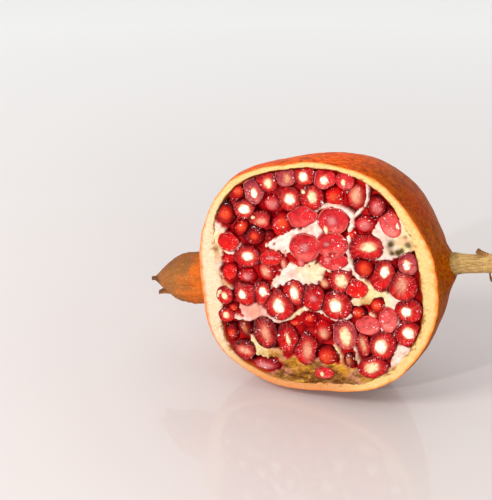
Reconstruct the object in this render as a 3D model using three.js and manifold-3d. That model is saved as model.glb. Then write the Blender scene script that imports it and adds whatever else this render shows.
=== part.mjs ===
// Open pomegranate: the larger piece of a fruit cut lengthways beside its core, lying on its
// rounded back with the cut face looking forwards. Millimetres, +Z up, origin under the middle
// of its box.
//
// Everything is laid out in the fruit's own frame and then turned as a whole:
//   x  along the fruit's axis, from the calyx (-) to the stem (+)
//   y  up the cut face
//   z  out of the cut face, square to it
import * as THREE from 'three';
import { mergeVertices } from 'three/addons/utils/BufferGeometryUtils.js';
import Module from 'manifold-3d';

const wasm = await Module();
wasm.setup();

// ---------------------------------------------------------------- driving dimensions

const GIRTH = 45.2; // radius of the fruit round its axis, at the middle
const STEM_END = { reach: 45.6, fullness: 2.2, neck: 5.3 };
const CALYX_END = { reach: 43.4, fullness: 2.35, neck: 5 };
const NECK_SPREAD = 9; // degrees from the axis over which each neck swells out
const BODY_LIFT = 0.7; // the body's middle sits this far above the axis

// No fruit is quite round: broad swellings (+) and flats (-) of the rind, in the fruit's frame.
const UNEVEN = [
  { towards: [0.15, -0.9, -0.44], spread: 26, height: 7 }, // sagging underside
  { towards: [-0.75, 0.25, -0.6], spread: 40, height: -3.5 }, // slack calyx side of the back
  { towards: [-0.25, 0.8, -0.55], spread: 35, height: -6 }, // flat shoulder
  { towards: [0.6, 0.55, -0.6], spread: 35, height: 1.5 }, // full stem side
];
// The same round the cut face: extra radius at every 30 degrees, from the stem side upwards.
const RIM_UNEVEN = [0, -0.5, 0, 0.5, 1.5, 0.5, 0.5, 3, 1, -0.5, 1.5, 1.5];

const CUT = 11.6; // the knife passed this far in front of the axis
const AXIS_TILT = 9.9; // degrees, stem end up
const LEAN = 2.3; // degrees, cut face leaning back
const CENTRE_HEIGHT = 46.2; // axis above the table: lower than the body, so it rests on a flat

const GAP = 0.3; // between neighbouring pieces
const BED = 6.2; // level of the pith under the arils
const MEMBRANE_TOP = CUT - 0.5; // membranes stand nearly as high as the cut
const CUT_ARIL_DEPTH = 1.2; // a cut aril's middle lies this far under the cut face
const SWELL = 1.08; // arils grow until they press on each other
const BED_OVERLAP = 2; // membranes start this far inside the bed

// How finely the round bodies are faceted.
const SKIN_FACETS = { around: 40, along: 24 };
const CAVITY_FACETS = { around: 36, along: 22 };
const EGG_DETAIL = 1;
const WELL_SIDES = 12;
const STALK_SIDES = 14;
const STUB_SIDES = 8;
const CALYX_FACETS = { around: 24, along: 6 };

// The stalk, turned round its own line: [radius, x] from inside the neck to the broken end.
const STEM_END_X = 72;
const STEM_Y = 2;
const STALK = [
  [0, 42], [4.4, 42], [4.2, 50], [3.6, 53], [3.4, 60], [3.6, 66], [3.5, STEM_END_X - 0.8],
  [2.8, STEM_END_X], [0, STEM_END_X],
];
// The broken twig on it: it leans towards the fruit from a foot on the stalk's upper side.
const STUB = { tipRadius: 0.9, footRadius: 1.1, length: 6, lean: 58, footX: 62.6, footY: 1.8 };

// The calyx: a tube of leathery lobes that closes into a beak, one lower lobe apart.
const CALYX_BASE_X = -42;
const CALYX_FLOOR_X = -50.5; // how deep the tube is open
const CALYX_TIP_X = -69.6;
const CALYX_Y = -1.4;
const CALYX_RADIUS = 10.2;
const BEAK = { length: 18, tipRadius: 1 };
const LOWER_LOBE = { middle: 180, half: 34, tipX: -67.5, radius: 7 };
const NOTCH = { x: -56, spread: 9 }; // the slit on each side of the lower lobe
const CALYX_WALL = { thick: 1.5, thin: 0.55, thinFromX: -66 };

// The rind with its pale inner layer, measured inwards on the cut face: [angle, thickness].
// The angle runs from the stem side (0) over the top (90) to the calyx side (180).
const WALL = [
  [0, 5.0], [25, 4.0], [45, 2.7], [70, 2.2], [90, 2.0], [112, 2.4], [128, 2.8], [142, 3.0],
  [156, 6.0], [170, 7.6], [182, 8.8], [197, 7.5], [215, 3.2], [232, 2.5], [252, 2.8],
  [270, 3.2], [290, 3.2], [310, 3.8], [330, 4.2], [345, 4.2], [360, 5.0],
];
const BACK_WALL = 4; // thickness away from the cut

// The arils that meet the cut face: [x, y, length, width, turn in degrees, top]. The top is
// 'cut' where the knife went through, or else how far a whole aril stands above the cut face.
const ARILS = [
  [-23, 34.5, 8, 6.5, 35, 0.5], [-16.3, 34.8, 9, 8, 90, 'cut'], [-10.8, 38, 8, 7, 0, 'cut'],
  [-3.6, 39.4, 7.5, 7, 0, 'cut'], [3.5, 39.6, 8, 7, 0, 'cut'], [10.3, 37.8, 8, 7, 0, 'cut'],
  [20.6, 30.8, 9.5, 8, 80, 0.4], [27.3, 27, 9, 7.5, 70, 0.3],
  [31.5, 20.5, 9, 6.5, 110, 'cut'],

  [-28.5, 27, 9, 8, 90, 0.8], [-20.9, 28.5, 8, 7, 0, 'cut'], [-10.4, 30, 7.5, 7.5, 0, -0.2],
  [-3.3, 31.5, 8.5, 8.5, 0, 'cut'], [5, 31.3, 9, 8.5, 0, 'cut'], [13, 31.3, 7.5, 7.5, 0, 0.1],
  [-23.3, 21.3, 8, 6.5, 40, 0.2], [-15.3, 24.3, 8, 6, 0, 'cut'], [-7.8, 21.8, 10, 9, 70, 0.6],
  [-18.6, 18.6, 8.5, 8.5, 0, 1.0],

  [0.5, 24.8, 10.5, 6.5, 12, 'cut'], [11.6, 22.8, 10.5, 9.5, 0, 'cut'],
  [22.8, 20.8, 8.5, 7, 0, 0.3], [22.3, 12.5, 11.5, 9, 0, 'cut'], [-29, 16.5, 8, 7, 0, 'cut'],
  [-22.7, 10.6, 9.5, 8, 0, 'cut'], [-24, 3, 8.5, 7, 0, 0.3],
  [-16, 4.3, 8.5, 7.5, 110, 0.3], [-28, -17.8, 9, 6.5, 110, 0.2], [-29.3, -26.8, 9, 8, 0, 'cut'],

  [0, 13.3, 8.5, 8, 0, 'cut'], [10, 14, 9, 8, 0, 'cut'], [20.3, 4.8, 8.5, 8.5, 0, 0.4],
  [27, 2, 11, 8, 70, 'cut'], [36.3, 6.2, 7.5, 6.8, 90, 'cut'], [33.6, -1.8, 10.5, 9.5, 90, 'cut'],
  [-25.5, -3.8, 9.5, 8, 90, 'cut'], [-18.8, -3.8, 9.5, 6.5, 90, 'cut'],
  [-12.8, -8.4, 11.5, 11, 90, 'cut'], [-6.2, -3.7, 9.5, 8, 90, 'cut'],

  [0.8, -5.8, 10, 8.5, 90, 'cut'], [12, 0.5, 9, 8.5, 0, 'cut'], [9, -8.8, 11, 10.5, 0, 'cut'],
  [16.8, -2.3, 8.5, 7, -15, 'cut'], [34.8, -10.8, 9, 8.5, 0, 'cut'],
  [27.3, -14.3, 9.5, 6.5, 85, 'cut'], [19.8, -16.5, 8.5, 7, 0, 'cut'],
  [33.7, -19.6, 10, 9, 90, 'cut'], [24.3, -24, 11, 9, 70, 'cut'], [10.7, -20, 11.5, 9, 90, 'cut'],

  [2.5, -19, 9.5, 8.5, 90, 0.2], [3.2, -28.9, 10, 9, 0, 0.6], [-4.7, -26, 12.5, 8.5, 80, 'cut'],
  [-11.3, -21.8, 11.5, 8, 95, 'cut'], [-19.8, -19.5, 12.5, 9.5, 95, 'cut'],
  [19.8, -33, 10.5, 8, 15, 'cut'], [-21.8, -32.8, 12.5, 6.5, -8, 0.2],
];

// Membranes that reach the cut face: a centre line on the face and a width.
const MEMBRANES = [
  {
    width: 1.4,
    line: [
      [-36, -11], [-27, -14.5], [-19, -12.8], [-14, -15.2], [-7, -12.5], [-3, -10.2],
      [3, -11.5], [9, -14.8], [15, -12], [17, -7],
    ],
  },
  {
    width: 1.6,
    line: [
      [-14, 14.5], [-5, 18.5], [4, 20], [6, 27], [13, 27.6], [18.5, 24], [17, 18],
      [15.6, 11], [17, 3], [23, -2.5],
    ],
  },
  { width: 1.2, line: [[25, 35], [24.3, 29], [21, 25.2], [17.5, 22]] },
  { width: 1.2, line: [[21, -12.5], [25, -18.5], [29.3, -20.3], [30.6, -14], [29.3, -7]] },
];

// Broad places where the white pith itself is cut: an outline on the face.
const PITH_PADS = [
  [[-13, 13.5], [-9, 17.5], [-2, 20.5], [-4, 15.5], [-5, 12], [-9, 11.5]],
  [[0, 20], [6, 25], [7.5, 20], [5.3, 15.2]],
  [[25, 17.5], [28, 22], [36, 18], [39, 12], [31, 8], [25.5, 7.8], [28.5, 12]],
  [[-15, -2], [-12, 3], [-6, 7], [3, 7], [8, 6.5], [15.5, 6.5], [15.5, 3.5], [7, 4.5], [2.5, -1], [-9, -1]],
  [[14, -8], [21, -1], [28, -4.5], [29, -8], [20, -8.5], [16, -9]],
  [[-28.5, -8.5], [-22, -7.5], [-18, -12.5], [-28, -14.5]],
  [[25, -34], [29, -25], [33, -24], [34, -27]],
  [[-26, -21.5], [-24.8, -29], [-14, -33], [-15, -27.5]],
  [[-18, -42], [-16, -33], [-9, -29], [9, -34], [16, -37], [12, -42]],
];

// ---------------------------------------------------------------- solids

const RADIANS = Math.PI / 180;

/** A closed geometry's solid: only positions count, and equal positions are one vertex. */
function toSolid(geometry) {
  geometry.deleteAttribute('normal');
  geometry.deleteAttribute('uv');
  const merged = mergeVertices(geometry);
  const vertProperties = new Float32Array(merged.getAttribute('position').array);
  const triVerts = new Uint32Array(merged.getIndex().array);
  return new wasm.Manifold(new wasm.Mesh({ numProp: 3, vertProperties, triVerts }));
}

/** A named mesh of a solid. */
function toMesh(solid, name, material) {
  const { vertProperties, triVerts } = solid.getMesh();
  const geometry = new THREE.BufferGeometry();
  geometry.setAttribute('position', new THREE.BufferAttribute(vertProperties, 3));
  geometry.setIndex(new THREE.BufferAttribute(triVerts, 1));
  geometry.computeVertexNormals();
  const mesh = new THREE.Mesh(geometry, material);
  mesh.name = name;
  return mesh;
}

/** What of a solid lies on the side of a plane that the direction points away from. */
function keepBehind(solid, direction, level) {
  return solid.trimByPlane([-direction.x, -direction.y, -direction.z], -level);
}

/** The largest separate body of a solid. */
function largestBody(solid) {
  const bodies = solid.decompose();
  return bodies.reduce((best, body) => (body.volume() > best.volume() ? body : best));
}

/** A sphere, its poles on the fruit's axis, each point moved out to radius(direction). */
function starSolid(radius, facets) {
  const geometry = new THREE.SphereGeometry(1, facets.around, facets.along);
  geometry.rotateZ(-Math.PI / 2);
  const position = geometry.getAttribute('position');
  const point = new THREE.Vector3();
  for (let i = 0; i < position.count; i += 1) {
    point.fromBufferAttribute(position, i).normalize();
    point.multiplyScalar(radius(point));
    position.setXYZ(i, point.x, point.y + BODY_LIFT, point.z);
  }
  return toSolid(geometry);
}

// ---------------------------------------------------------------- the fruit's shape

/** A swelling that is 1 at an angle of 0 and fades like a bell over its spread, in degrees. */
function bell(angle, spread) {
  return Math.exp(-((angle / (spread * RADIANS)) ** 2));
}

/** Degrees round the cut face, from the stem side (0) over the top (90). */
function turnOnFace(direction) {
  return (Math.atan2(direction.y, direction.x) / RADIANS + 360) % 360;
}

/** The uneven rim's extra radius, smooth between its stations and fading out behind the cut. */
function rimExtra(direction) {
  const station = turnOnFace(direction) / (360 / RIM_UNEVEN.length);
  const from = RIM_UNEVEN[Math.floor(station) % RIM_UNEVEN.length];
  const to = RIM_UNEVEN[(Math.floor(station) + 1) % RIM_UNEVEN.length];
  const share = THREE.MathUtils.smoothstep(station % 1, 0, 1);
  return THREE.MathUtils.lerp(from, to, share) * (1 - THREE.MathUtils.smoothstep(-direction.z, 0, 0.7));
}

/**
 * Distance from the middle to the outside of the rind: a squared-off ellipsoid of revolution,
 * fuller or sharper at each end, with a neck at both poles and the uneven swellings added.
 */
function fruitRadius(direction) {
  const end = direction.x >= 0 ? STEM_END : CALYX_END;
  const along = Math.abs(direction.x) / end.reach;
  const across = Math.hypot(direction.y, direction.z) / GIRTH;
  const body = (along ** end.fullness + across ** end.fullness) ** (-1 / end.fullness);
  const neck = end.neck * bell(Math.acos(Math.min(1, Math.abs(direction.x))), NECK_SPREAD);
  const swelling = UNEVEN.reduce((sum, { towards, spread, height }) => (
    sum + height * bell(direction.angleTo(new THREE.Vector3(...towards)), spread)
  ), 0);
  return body + neck + swelling + rimExtra(direction);
}

/** The rind's thickness in a direction: read round the cut face, evening out behind it. */
function wallThickness(direction) {
  const turn = turnOnFace(direction);
  const next = WALL.findIndex(([angle]) => angle > turn);
  const [fromAngle, fromWall] = WALL[next - 1];
  const [toAngle, toWall] = WALL[next];
  const atCut = THREE.MathUtils.lerp(fromWall, toWall, (turn - fromAngle) / (toAngle - fromAngle));
  const behind = THREE.MathUtils.smoothstep(-direction.z, 0, 0.6);
  return THREE.MathUtils.lerp(atCut, BACK_WALL, behind);
}

const cavityRadius = (direction) => fruitRadius(direction) - wallThickness(direction);

const wholeFruit = starSolid(fruitRadius, SKIN_FACETS);
const clearOfFruit = starSolid((direction) => fruitRadius(direction) + GAP, SKIN_FACETS);
const cavity = starSolid(cavityRadius, CAVITY_FACETS);
const cavityFilling = starSolid((direction) => cavityRadius(direction) - GAP, CAVITY_FACETS);

const FACE = new THREE.Vector3(0, 0, 1);

// How the fruit lies: cut face to the front, then leaning back, then its stem end lifted.
const placing = new THREE.Quaternion()
  .setFromAxisAngle(new THREE.Vector3(0, 1, 0), -AXIS_TILT * RADIANS)
  .multiply(
    new THREE.Quaternion().setFromAxisAngle(new THREE.Vector3(1, 0, 0), (90 - LEAN) * RADIANS),
  );
const tableUp = new THREE.Vector3(0, 0, 1).applyQuaternion(placing.clone().invert());

// ---------------------------------------------------------------- rind

function rindSolid() {
  const shell = keepBehind(wholeFruit, FACE, CUT).subtract(cavity);
  return shell.trimByPlane(tableUp.toArray(), -CENTRE_HEIGHT);
}

// ---------------------------------------------------------------- arils

/** How far an aril's ellipse reaches from its middle in a direction across the face. */
function arilReach([, , length, width, turn], angle) {
  const fromLength = angle - turn * RADIANS;
  return SWELL * 0.5 * Math.hypot(length * Math.cos(fromLength), width * Math.sin(fromLength));
}

/**
 * An aril's solid with flats where it presses on its neighbours: the walls stand square to the
 * face, shared out by size, and keep the clearance on this aril's side.
 */
function pressFlats(solid, aril, clearance) {
  const [x, y] = aril;
  let pressed = solid;
  for (const other of ARILS.filter((candidate) => candidate !== aril)) {
    const across = new THREE.Vector3(other[0] - x, other[1] - y, 0);
    const distance = across.length();
    const angle = Math.atan2(across.y, across.x);
    const reach = arilReach(aril, angle);
    const reaches = reach + arilReach(other, angle);
    if (reaches > distance - GAP) {
      const away = across.normalize();
      const wall = (distance * reach) / reaches - clearance;
      pressed = keepBehind(pressed, away, away.x * x + away.y * y + wall);
    }
  }
  return pressed;
}

/** An egg of juice, flattened by its neighbours, the rind, the bed and the knife. */
function arilSolid(aril) {
  const [x, y, length, width, turn, top] = aril;
  const depth = (length + width) / 2;
  const middle = top === 'cut' ? CUT - CUT_ARIL_DEPTH : CUT + top - depth / 2;
  const egg = new THREE.IcosahedronGeometry(0.5 * SWELL, EGG_DETAIL);
  egg.scale(length, width, depth);
  egg.rotateZ(turn * RADIANS);
  egg.translate(x, y, middle);
  const clear = toSolid(egg).intersect(cavityFilling).trimByPlane([0, 0, 1], BED + GAP);
  const knifed = top === 'cut' ? keepBehind(clear, FACE, CUT) : clear;
  return pressFlats(knifed, aril, GAP / 2);
}

const arilSolids = ARILS.map(arilSolid);

/** Room for an aril in a membrane: a straight-sided well, a gap wider than the aril. */
function socketSolid(aril) {
  const [x, y, length, width, turn] = aril;
  const well = new THREE.CylinderGeometry(0.5 * SWELL, 0.5 * SWELL, 2 * CUT, WELL_SIDES);
  well.rotateX(Math.PI / 2);
  well.scale(length + 3 * GAP, width + 3 * GAP, 1);
  well.rotateZ(turn * RADIANS);
  well.translate(x, y, BED + GAP + CUT);
  return pressFlats(toSolid(well), aril, -2 * GAP);
}

// ---------------------------------------------------------------- pith

/** A flat outline raised from inside the bed to the top of the membranes. */
function raised(shape) {
  const geometry = new THREE.ExtrudeGeometry(shape, {
    depth: MEMBRANE_TOP - BED + BED_OVERLAP,
    bevelEnabled: false,
    curveSegments: 1,
  });
  geometry.translate(0, 0, BED - BED_OVERLAP);
  return toSolid(geometry);
}

/** A strip of even width along a smooth line. */
function stripShape({ line, width }) {
  const curve = new THREE.SplineCurve(line.map(([x, y]) => new THREE.Vector2(x, y)));
  const left = [];
  const right = [];
  const steps = 2 * line.length;
  for (let i = 0; i <= steps; i += 1) {
    const point = curve.getPoint(i / steps);
    const tangent = curve.getTangent(i / steps);
    const side = new THREE.Vector2(-tangent.y, tangent.x).multiplyScalar(width / 2);
    left.push(point.clone().add(side));
    right.unshift(point.clone().sub(side));
  }
  return new THREE.Shape([...left, ...right]);
}

function pithSolid() {
  const bed = keepBehind(cavityFilling, FACE, BED);
  const strips = MEMBRANES.map((membrane) => raised(stripShape(membrane)));
  const pads = PITH_PADS.map((outline) => raised(
    new THREE.Shape(outline.map(([x, y]) => new THREE.Vector2(x, y))),
  ));
  const standing = wasm.Manifold.union([...strips, ...pads]).intersect(cavityFilling);
  const sockets = wasm.Manifold.union(ARILS.map(socketSolid));
  return largestBody(bed.add(standing).subtract(sockets));
}

// ---------------------------------------------------------------- stem and calyx

function stemSolid() {
  const profile = STALK.map(([radius, x]) => new THREE.Vector2(radius, x));
  const stalk = new THREE.LatheGeometry(profile, STALK_SIDES);
  stalk.rotateZ(-Math.PI / 2);
  stalk.translate(0, STEM_Y, 0);
  const { tipRadius, footRadius, length, lean, footX, footY } = STUB;
  const stub = new THREE.CylinderGeometry(tipRadius, footRadius, length, STUB_SIDES);
  stub.translate(0, length / 2, 0);
  stub.rotateZ(lean * RADIANS);
  stub.translate(footX, STEM_Y + footY, 0);
  return toSolid(stalk).add(toSolid(stub)).subtract(clearOfFruit);
}

/** 1 on the lower lobe, which stands apart, and 0 on the lobes that close into a beak. */
function lowerLobe(degrees) {
  const off = Math.abs(degrees - LOWER_LOBE.middle);
  return 1 - THREE.MathUtils.smoothstep(off, LOWER_LOBE.half * 0.6, LOWER_LOBE.half);
}

/** Where the calyx wall ends: at the beak's tip, at the lower lobe's, or in the notch between. */
function calyxRimX(degrees) {
  const apart = lowerLobe(degrees);
  const fromSlit = Math.abs(degrees - LOWER_LOBE.middle) - LOWER_LOBE.half;
  const notch = bell(fromSlit * RADIANS, NOTCH.spread);
  const full = THREE.MathUtils.lerp(CALYX_TIP_X, LOWER_LOBE.tipX, apart);
  return THREE.MathUtils.lerp(full, NOTCH.x, notch);
}

/** Outer radius of the calyx: a pointed arch up to the beak, or a straight lobe. */
function calyxRadius(x, degrees) {
  const toTip = THREE.MathUtils.clamp((x - CALYX_TIP_X) / BEAK.length, 0, 1);
  const beak = Math.max(BEAK.tipRadius, CALYX_RADIUS * Math.sin((toTip * Math.PI) / 2));
  return THREE.MathUtils.lerp(beak, LOWER_LOBE.radius, lowerLobe(degrees) * (1 - toTip));
}

function calyxSolid() {
  const { around, along } = CALYX_FACETS;
  const wall = (x) => (x < CALYX_WALL.thinFromX ? CALYX_WALL.thin : CALYX_WALL.thick);
  const points = [];
  const addRing = (shareAlong, fromX, inner) => {
    for (let j = 0; j < around; j += 1) {
      const degrees = (360 * j) / around;
      const x = THREE.MathUtils.lerp(fromX, calyxRimX(degrees), shareAlong);
      const radius = calyxRadius(x, degrees) - (inner ? wall(x) : 0);
      const angle = degrees * RADIANS;
      points.push(x, CALYX_Y + radius * Math.cos(angle), radius * Math.sin(angle));
    }
  };
  for (let i = 0; i <= along; i += 1) addRing(i / along, CALYX_BASE_X, false);
  for (let i = along; i >= 0; i -= 1) addRing(i / along, CALYX_FLOOR_X, true);
  const rings = 2 * (along + 1);
  const basePole = points.length / 3;
  points.push(CALYX_BASE_X, CALYX_Y, 0, CALYX_FLOOR_X, CALYX_Y, 0);
  const floorPole = basePole + 1;
  const faces = [];
  for (let i = 0; i < rings - 1; i += 1) {
    for (let j = 0; j < around; j += 1) {
      const a = i * around + j;
      const b = i * around + ((j + 1) % around);
      faces.push(a, a + around, b, b, a + around, b + around);
    }
  }
  for (let j = 0; j < around; j += 1) {
    const k = (j + 1) % around;
    const last = (rings - 1) * around;
    faces.push(basePole, j, k, floorPole, last + k, last + j);
  }
  const geometry = new THREE.BufferGeometry();
  geometry.setAttribute('position', new THREE.Float32BufferAttribute(points, 3));
  geometry.setIndex(faces);
  return largestBody(toSolid(geometry).subtract(clearOfFruit));
}

// ---------------------------------------------------------------- the object

const rindSkin = new THREE.MeshStandardMaterial({ color: 0xc8641e, roughness: 0.45 });
const whitePith = new THREE.MeshStandardMaterial({ color: 0xf0dfc8, roughness: 0.8 });
const juicyRed = new THREE.MeshStandardMaterial({ color: 0xa5101c, roughness: 0.15 });
const dryCalyx = new THREE.MeshStandardMaterial({ color: 0xa8743a, roughness: 0.8 });
const stemBark = new THREE.MeshStandardMaterial({ color: 0xb89a4e, roughness: 0.85 });

const fruit = new THREE.Group();
fruit.add(toMesh(rindSolid(), 'rind', rindSkin));
fruit.add(toMesh(pithSolid(), 'pith', whitePith));
fruit.add(toMesh(calyxSolid(), 'calyx', dryCalyx));
fruit.add(toMesh(stemSolid(), 'stem', stemBark));
arilSolids.forEach((solid, index) => {
  fruit.add(toMesh(solid, `aril_${String(index + 1).padStart(2, '0')}`, juicyRed));
});
fruit.quaternion.copy(placing);

// The origin goes under the middle of the whole box, on the flat that the fruit rests on.
const openPomegranate = new THREE.Group();
openPomegranate.add(fruit);
openPomegranate.updateMatrixWorld(true);
const box = new THREE.Box3().setFromObject(openPomegranate, true);
fruit.position.set(-(box.min.x + box.max.x) / 2, -(box.min.y + box.max.y) / 2, -box.min.z);

export default openPomegranate;
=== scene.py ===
# %% [markdown]
# # An open pomegranate
#
# The larger piece of a ripe pomegranate rests on its rounded underside. The knife passed lengthways
# beside the core, so the cut face shows the rind's pale inner layer, the white membranes and the
# juicy arils, each with its seed. The dry calyx is at one end and the woody stem at the other.
#
# The packed CAD model is loaded first. It says where everything is, and every piece made below
# stands for one of its nodes.

# %% Load the frame
import math

import bpy
import numpy as np
from mathutils import Matrix, Vector


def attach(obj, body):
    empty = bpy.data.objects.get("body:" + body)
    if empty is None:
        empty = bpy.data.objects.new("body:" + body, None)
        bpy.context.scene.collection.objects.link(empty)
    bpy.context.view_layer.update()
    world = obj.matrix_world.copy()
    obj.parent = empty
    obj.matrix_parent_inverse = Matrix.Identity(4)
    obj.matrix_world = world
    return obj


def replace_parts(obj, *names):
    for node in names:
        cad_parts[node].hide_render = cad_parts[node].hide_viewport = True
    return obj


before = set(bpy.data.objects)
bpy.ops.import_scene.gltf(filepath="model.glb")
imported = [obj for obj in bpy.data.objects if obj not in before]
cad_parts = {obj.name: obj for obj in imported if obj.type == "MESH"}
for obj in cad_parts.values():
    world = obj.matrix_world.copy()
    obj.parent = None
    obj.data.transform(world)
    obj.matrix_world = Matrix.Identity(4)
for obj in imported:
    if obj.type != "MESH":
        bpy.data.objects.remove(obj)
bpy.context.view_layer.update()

# %% [markdown]
# ## The fruit's own frame
#
# A fruit that lies at a slant is awkward to describe in level coordinates. So all shapes below
# are worked out in the fruit's own frame, in millimetres: x runs along its axis from the calyx to
# the stem, y up the cut face, and z out of the cut face. Two angles say how the fruit lies, and
# three places that are known in both frames say where its middle is: the plane of the cut, the
# stem's far end and the stem's centre line.

# %% The fruit's own frame
MM = 0.001
AXIS_TILT = math.radians(9.9)  # stem end up
LEAN = math.radians(2.3)  # cut face leaning back
CUT = 11.6  # level of the cut face, in mm
STEM_END_X = 72.0
STEM_Y = 2.0

LYING = np.array(
    Matrix.Rotation(-AXIS_TILT, 3, "Y") @ Matrix.Rotation(math.pi / 2 - LEAN, 3, "X")
)


def cad_corners(node):
    """Every vertex of a CAD node as the rows of an array, in metres."""
    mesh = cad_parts[node].data
    flat = np.empty(3 * len(mesh.vertices), np.float32)
    mesh.vertices.foreach_get("co", flat)
    return flat.reshape(-1, 3).astype(float)


turned_rind = cad_corners("rind") @ LYING / MM
turned_stem = cad_corners("stem") @ LYING / MM
stem_far_end = turned_stem[turned_stem[:, 0] > turned_stem[:, 0].max() - 0.5]
MIDDLE = np.array([
    turned_stem[:, 0].max() - STEM_END_X,
    (stem_far_end[:, 1].min() + stem_far_end[:, 1].max()) / 2 - STEM_Y,
    turned_rind[:, 2].max() - CUT,
])


def to_row(points):
    """Fruit frame, mm, to the row's frame, m: shift to the middle, then turn and scale."""
    return (points + MIDDLE) @ LYING.T * MM


def to_fruit(points):
    """The row's frame, m, to the fruit's, mm: the other way round."""
    return points @ LYING / MM - MIDDLE


print("the fruit's middle, in mm:", np.round(to_row(np.zeros((1, 3)))[0] / MM, 2))

# %% [markdown]
# ## Small tools for shapes
#
# Nothing that grows is exact, so a bumpy field is needed again and again. A sum of plane waves
# in random directions is smooth, repeats nowhere that shows, and takes one array product.

# %% Smooth steps, bells and a bumpy field
def smooth(value, low, high):
    """0 below low, 1 above high, and 3t^2 - 2t^3 of the share t in between."""
    share = np.clip((value - low) / (high - low), 0, 1)
    return share * share * (3 - 2 * share)


def bell(angle, spread):
    """exp(-(angle/spread)^2): 1 in the middle, fading over the spread, in degrees."""
    return np.exp(-((np.degrees(angle) / spread) ** 2))


def bumps(points, size, seed):
    """Sum of 16 sine waves of random directions, about size mm long, mostly between -1 and 1."""
    rng = np.random.default_rng(seed)
    directions = rng.normal(size=(16, 3))
    directions /= np.linalg.norm(directions, axis=1, keepdims=True)
    lengths = size * rng.uniform(0.65, 1.5, 16)
    waves = directions * (2 * np.pi / lengths)[:, None]
    phases = rng.uniform(0, 2 * np.pi, 16)
    return np.sin(points @ waves.T + phases).sum(-1) / 4.5


def blended(a, b, share):
    """Colours or points a and b mixed: a where share is 0 and b where it is 1."""
    return a + (b - a) * np.asarray(share)[..., None]


def colour(*rgb):
    """A screen colour, 0 to 255, as linear light."""
    c = np.array(rgb, float) / 255
    return np.where(c <= 0.04045, c / 12.92, ((c + 0.055) / 1.055) ** 2.4)


print("half way up a smooth step:", float(smooth(0.5, 0, 1)))

# %% [markdown]
# A closed surface is made of rings: each ring has the same number of points, neighbours are
# joined by quads, and the two ends are closed by a fan of triangles round one point. The signed
# volume of the result says at once whether its faces look outwards.

# %% Rings to a mesh
def ring_faces(rings, around):
    """Quads between ring i and ring i + 1; point j of ring i has the number i * around + j."""
    i, j = np.meshgrid(np.arange(rings - 1), np.arange(around), indexing="ij")
    k = (j + 1) % around
    quads = [i * around + j, i * around + k, (i + 1) * around + k, (i + 1) * around + j]
    return np.stack(quads, -1).reshape(-1, 4)


def fan_faces(pole, start, around, flip):
    """Triangles from a pole to the ring whose first point has the number start."""
    j = np.arange(around)
    k = (j + 1) % around
    first, second = (k, j) if flip else (j, k)
    return np.stack([np.full(around, pole), start + first, start + second], -1)


def volume(points, faces):
    """The sum of a.(b x c)/6 over all triangles, which is positive if faces look outwards."""
    total = 0.0
    for corners in (faces[:, [0, 1, 2]], faces[:, [0, 2, 3]] if faces.shape[1] == 4 else None):
        if corners is not None:
            a, b, c = (points[corners[:, n]] for n in range(3))
            total += np.einsum("ij,ij->i", a, np.cross(b, c)).sum() / 6
    return total


def closed_mesh(name, rings, ends, paint=None, material_of_ring=None):
    """A closed mesh from rings (rings, around, 3) and the two end points, in the fruit's frame.
    paint holds colours or vectors for the rings' points and then for the two ends."""
    count, around = rings.shape[:2]
    points = np.vstack([rings.reshape(-1, 3), ends])
    quads = ring_faces(count, around)
    pole = count * around
    caps = np.vstack([
        fan_faces(pole, 0, around, True),
        fan_faces(pole + 1, (count - 1) * around, around, False),
    ])
    if volume(points, quads) + volume(points, caps) < 0:
        quads, caps = quads[:, ::-1], caps[:, ::-1]
    mesh = bpy.data.meshes.new(name)
    mesh.from_pydata(to_row(points).tolist(), [], quads.tolist() + caps.tolist())
    mesh.polygons.foreach_set("use_smooth", np.ones(len(mesh.polygons), bool))
    if material_of_ring is not None:
        of_quad = np.repeat(material_of_ring, around)
        of_caps = np.repeat([material_of_ring[0], material_of_ring[-1]], around)
        mesh.polygons.foreach_set("material_index", np.append(of_quad, of_caps).astype(np.int32))
    store(mesh, "fruit_mm", points)
    for key, values in (paint or {}).items():
        store(mesh, key, values)
    piece = bpy.data.objects.new(name, mesh)
    bpy.context.scene.collection.objects.link(piece)
    return piece


def store(mesh, key, values):
    """Saves one vector (3 numbers) or one number for each vertex as a named attribute."""
    if values.ndim == 1:
        mesh.attributes.new(key, "FLOAT", "POINT").data.foreach_set(
            "value", values.astype(np.float32)
        )
    else:
        mesh.attributes.new(key, "FLOAT_VECTOR", "POINT").data.foreach_set(
            "vector", values.astype(np.float32).ravel()
        )


print("faces between 2 rings of 6 points:", len(ring_faces(2, 6)))

# %% [markdown]
# ## Small tools for materials
#
# Every material is a Principled shader. Patterns read the fruit's own millimetres, stored on the
# points as `fruit_mm`, so a pattern follows the fruit and not the room. Where the colour changes
# from place to place in a way that a formula knows, it is painted on the points as `paint`, and
# noise in the shader adds what is finer than the mesh.

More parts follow.
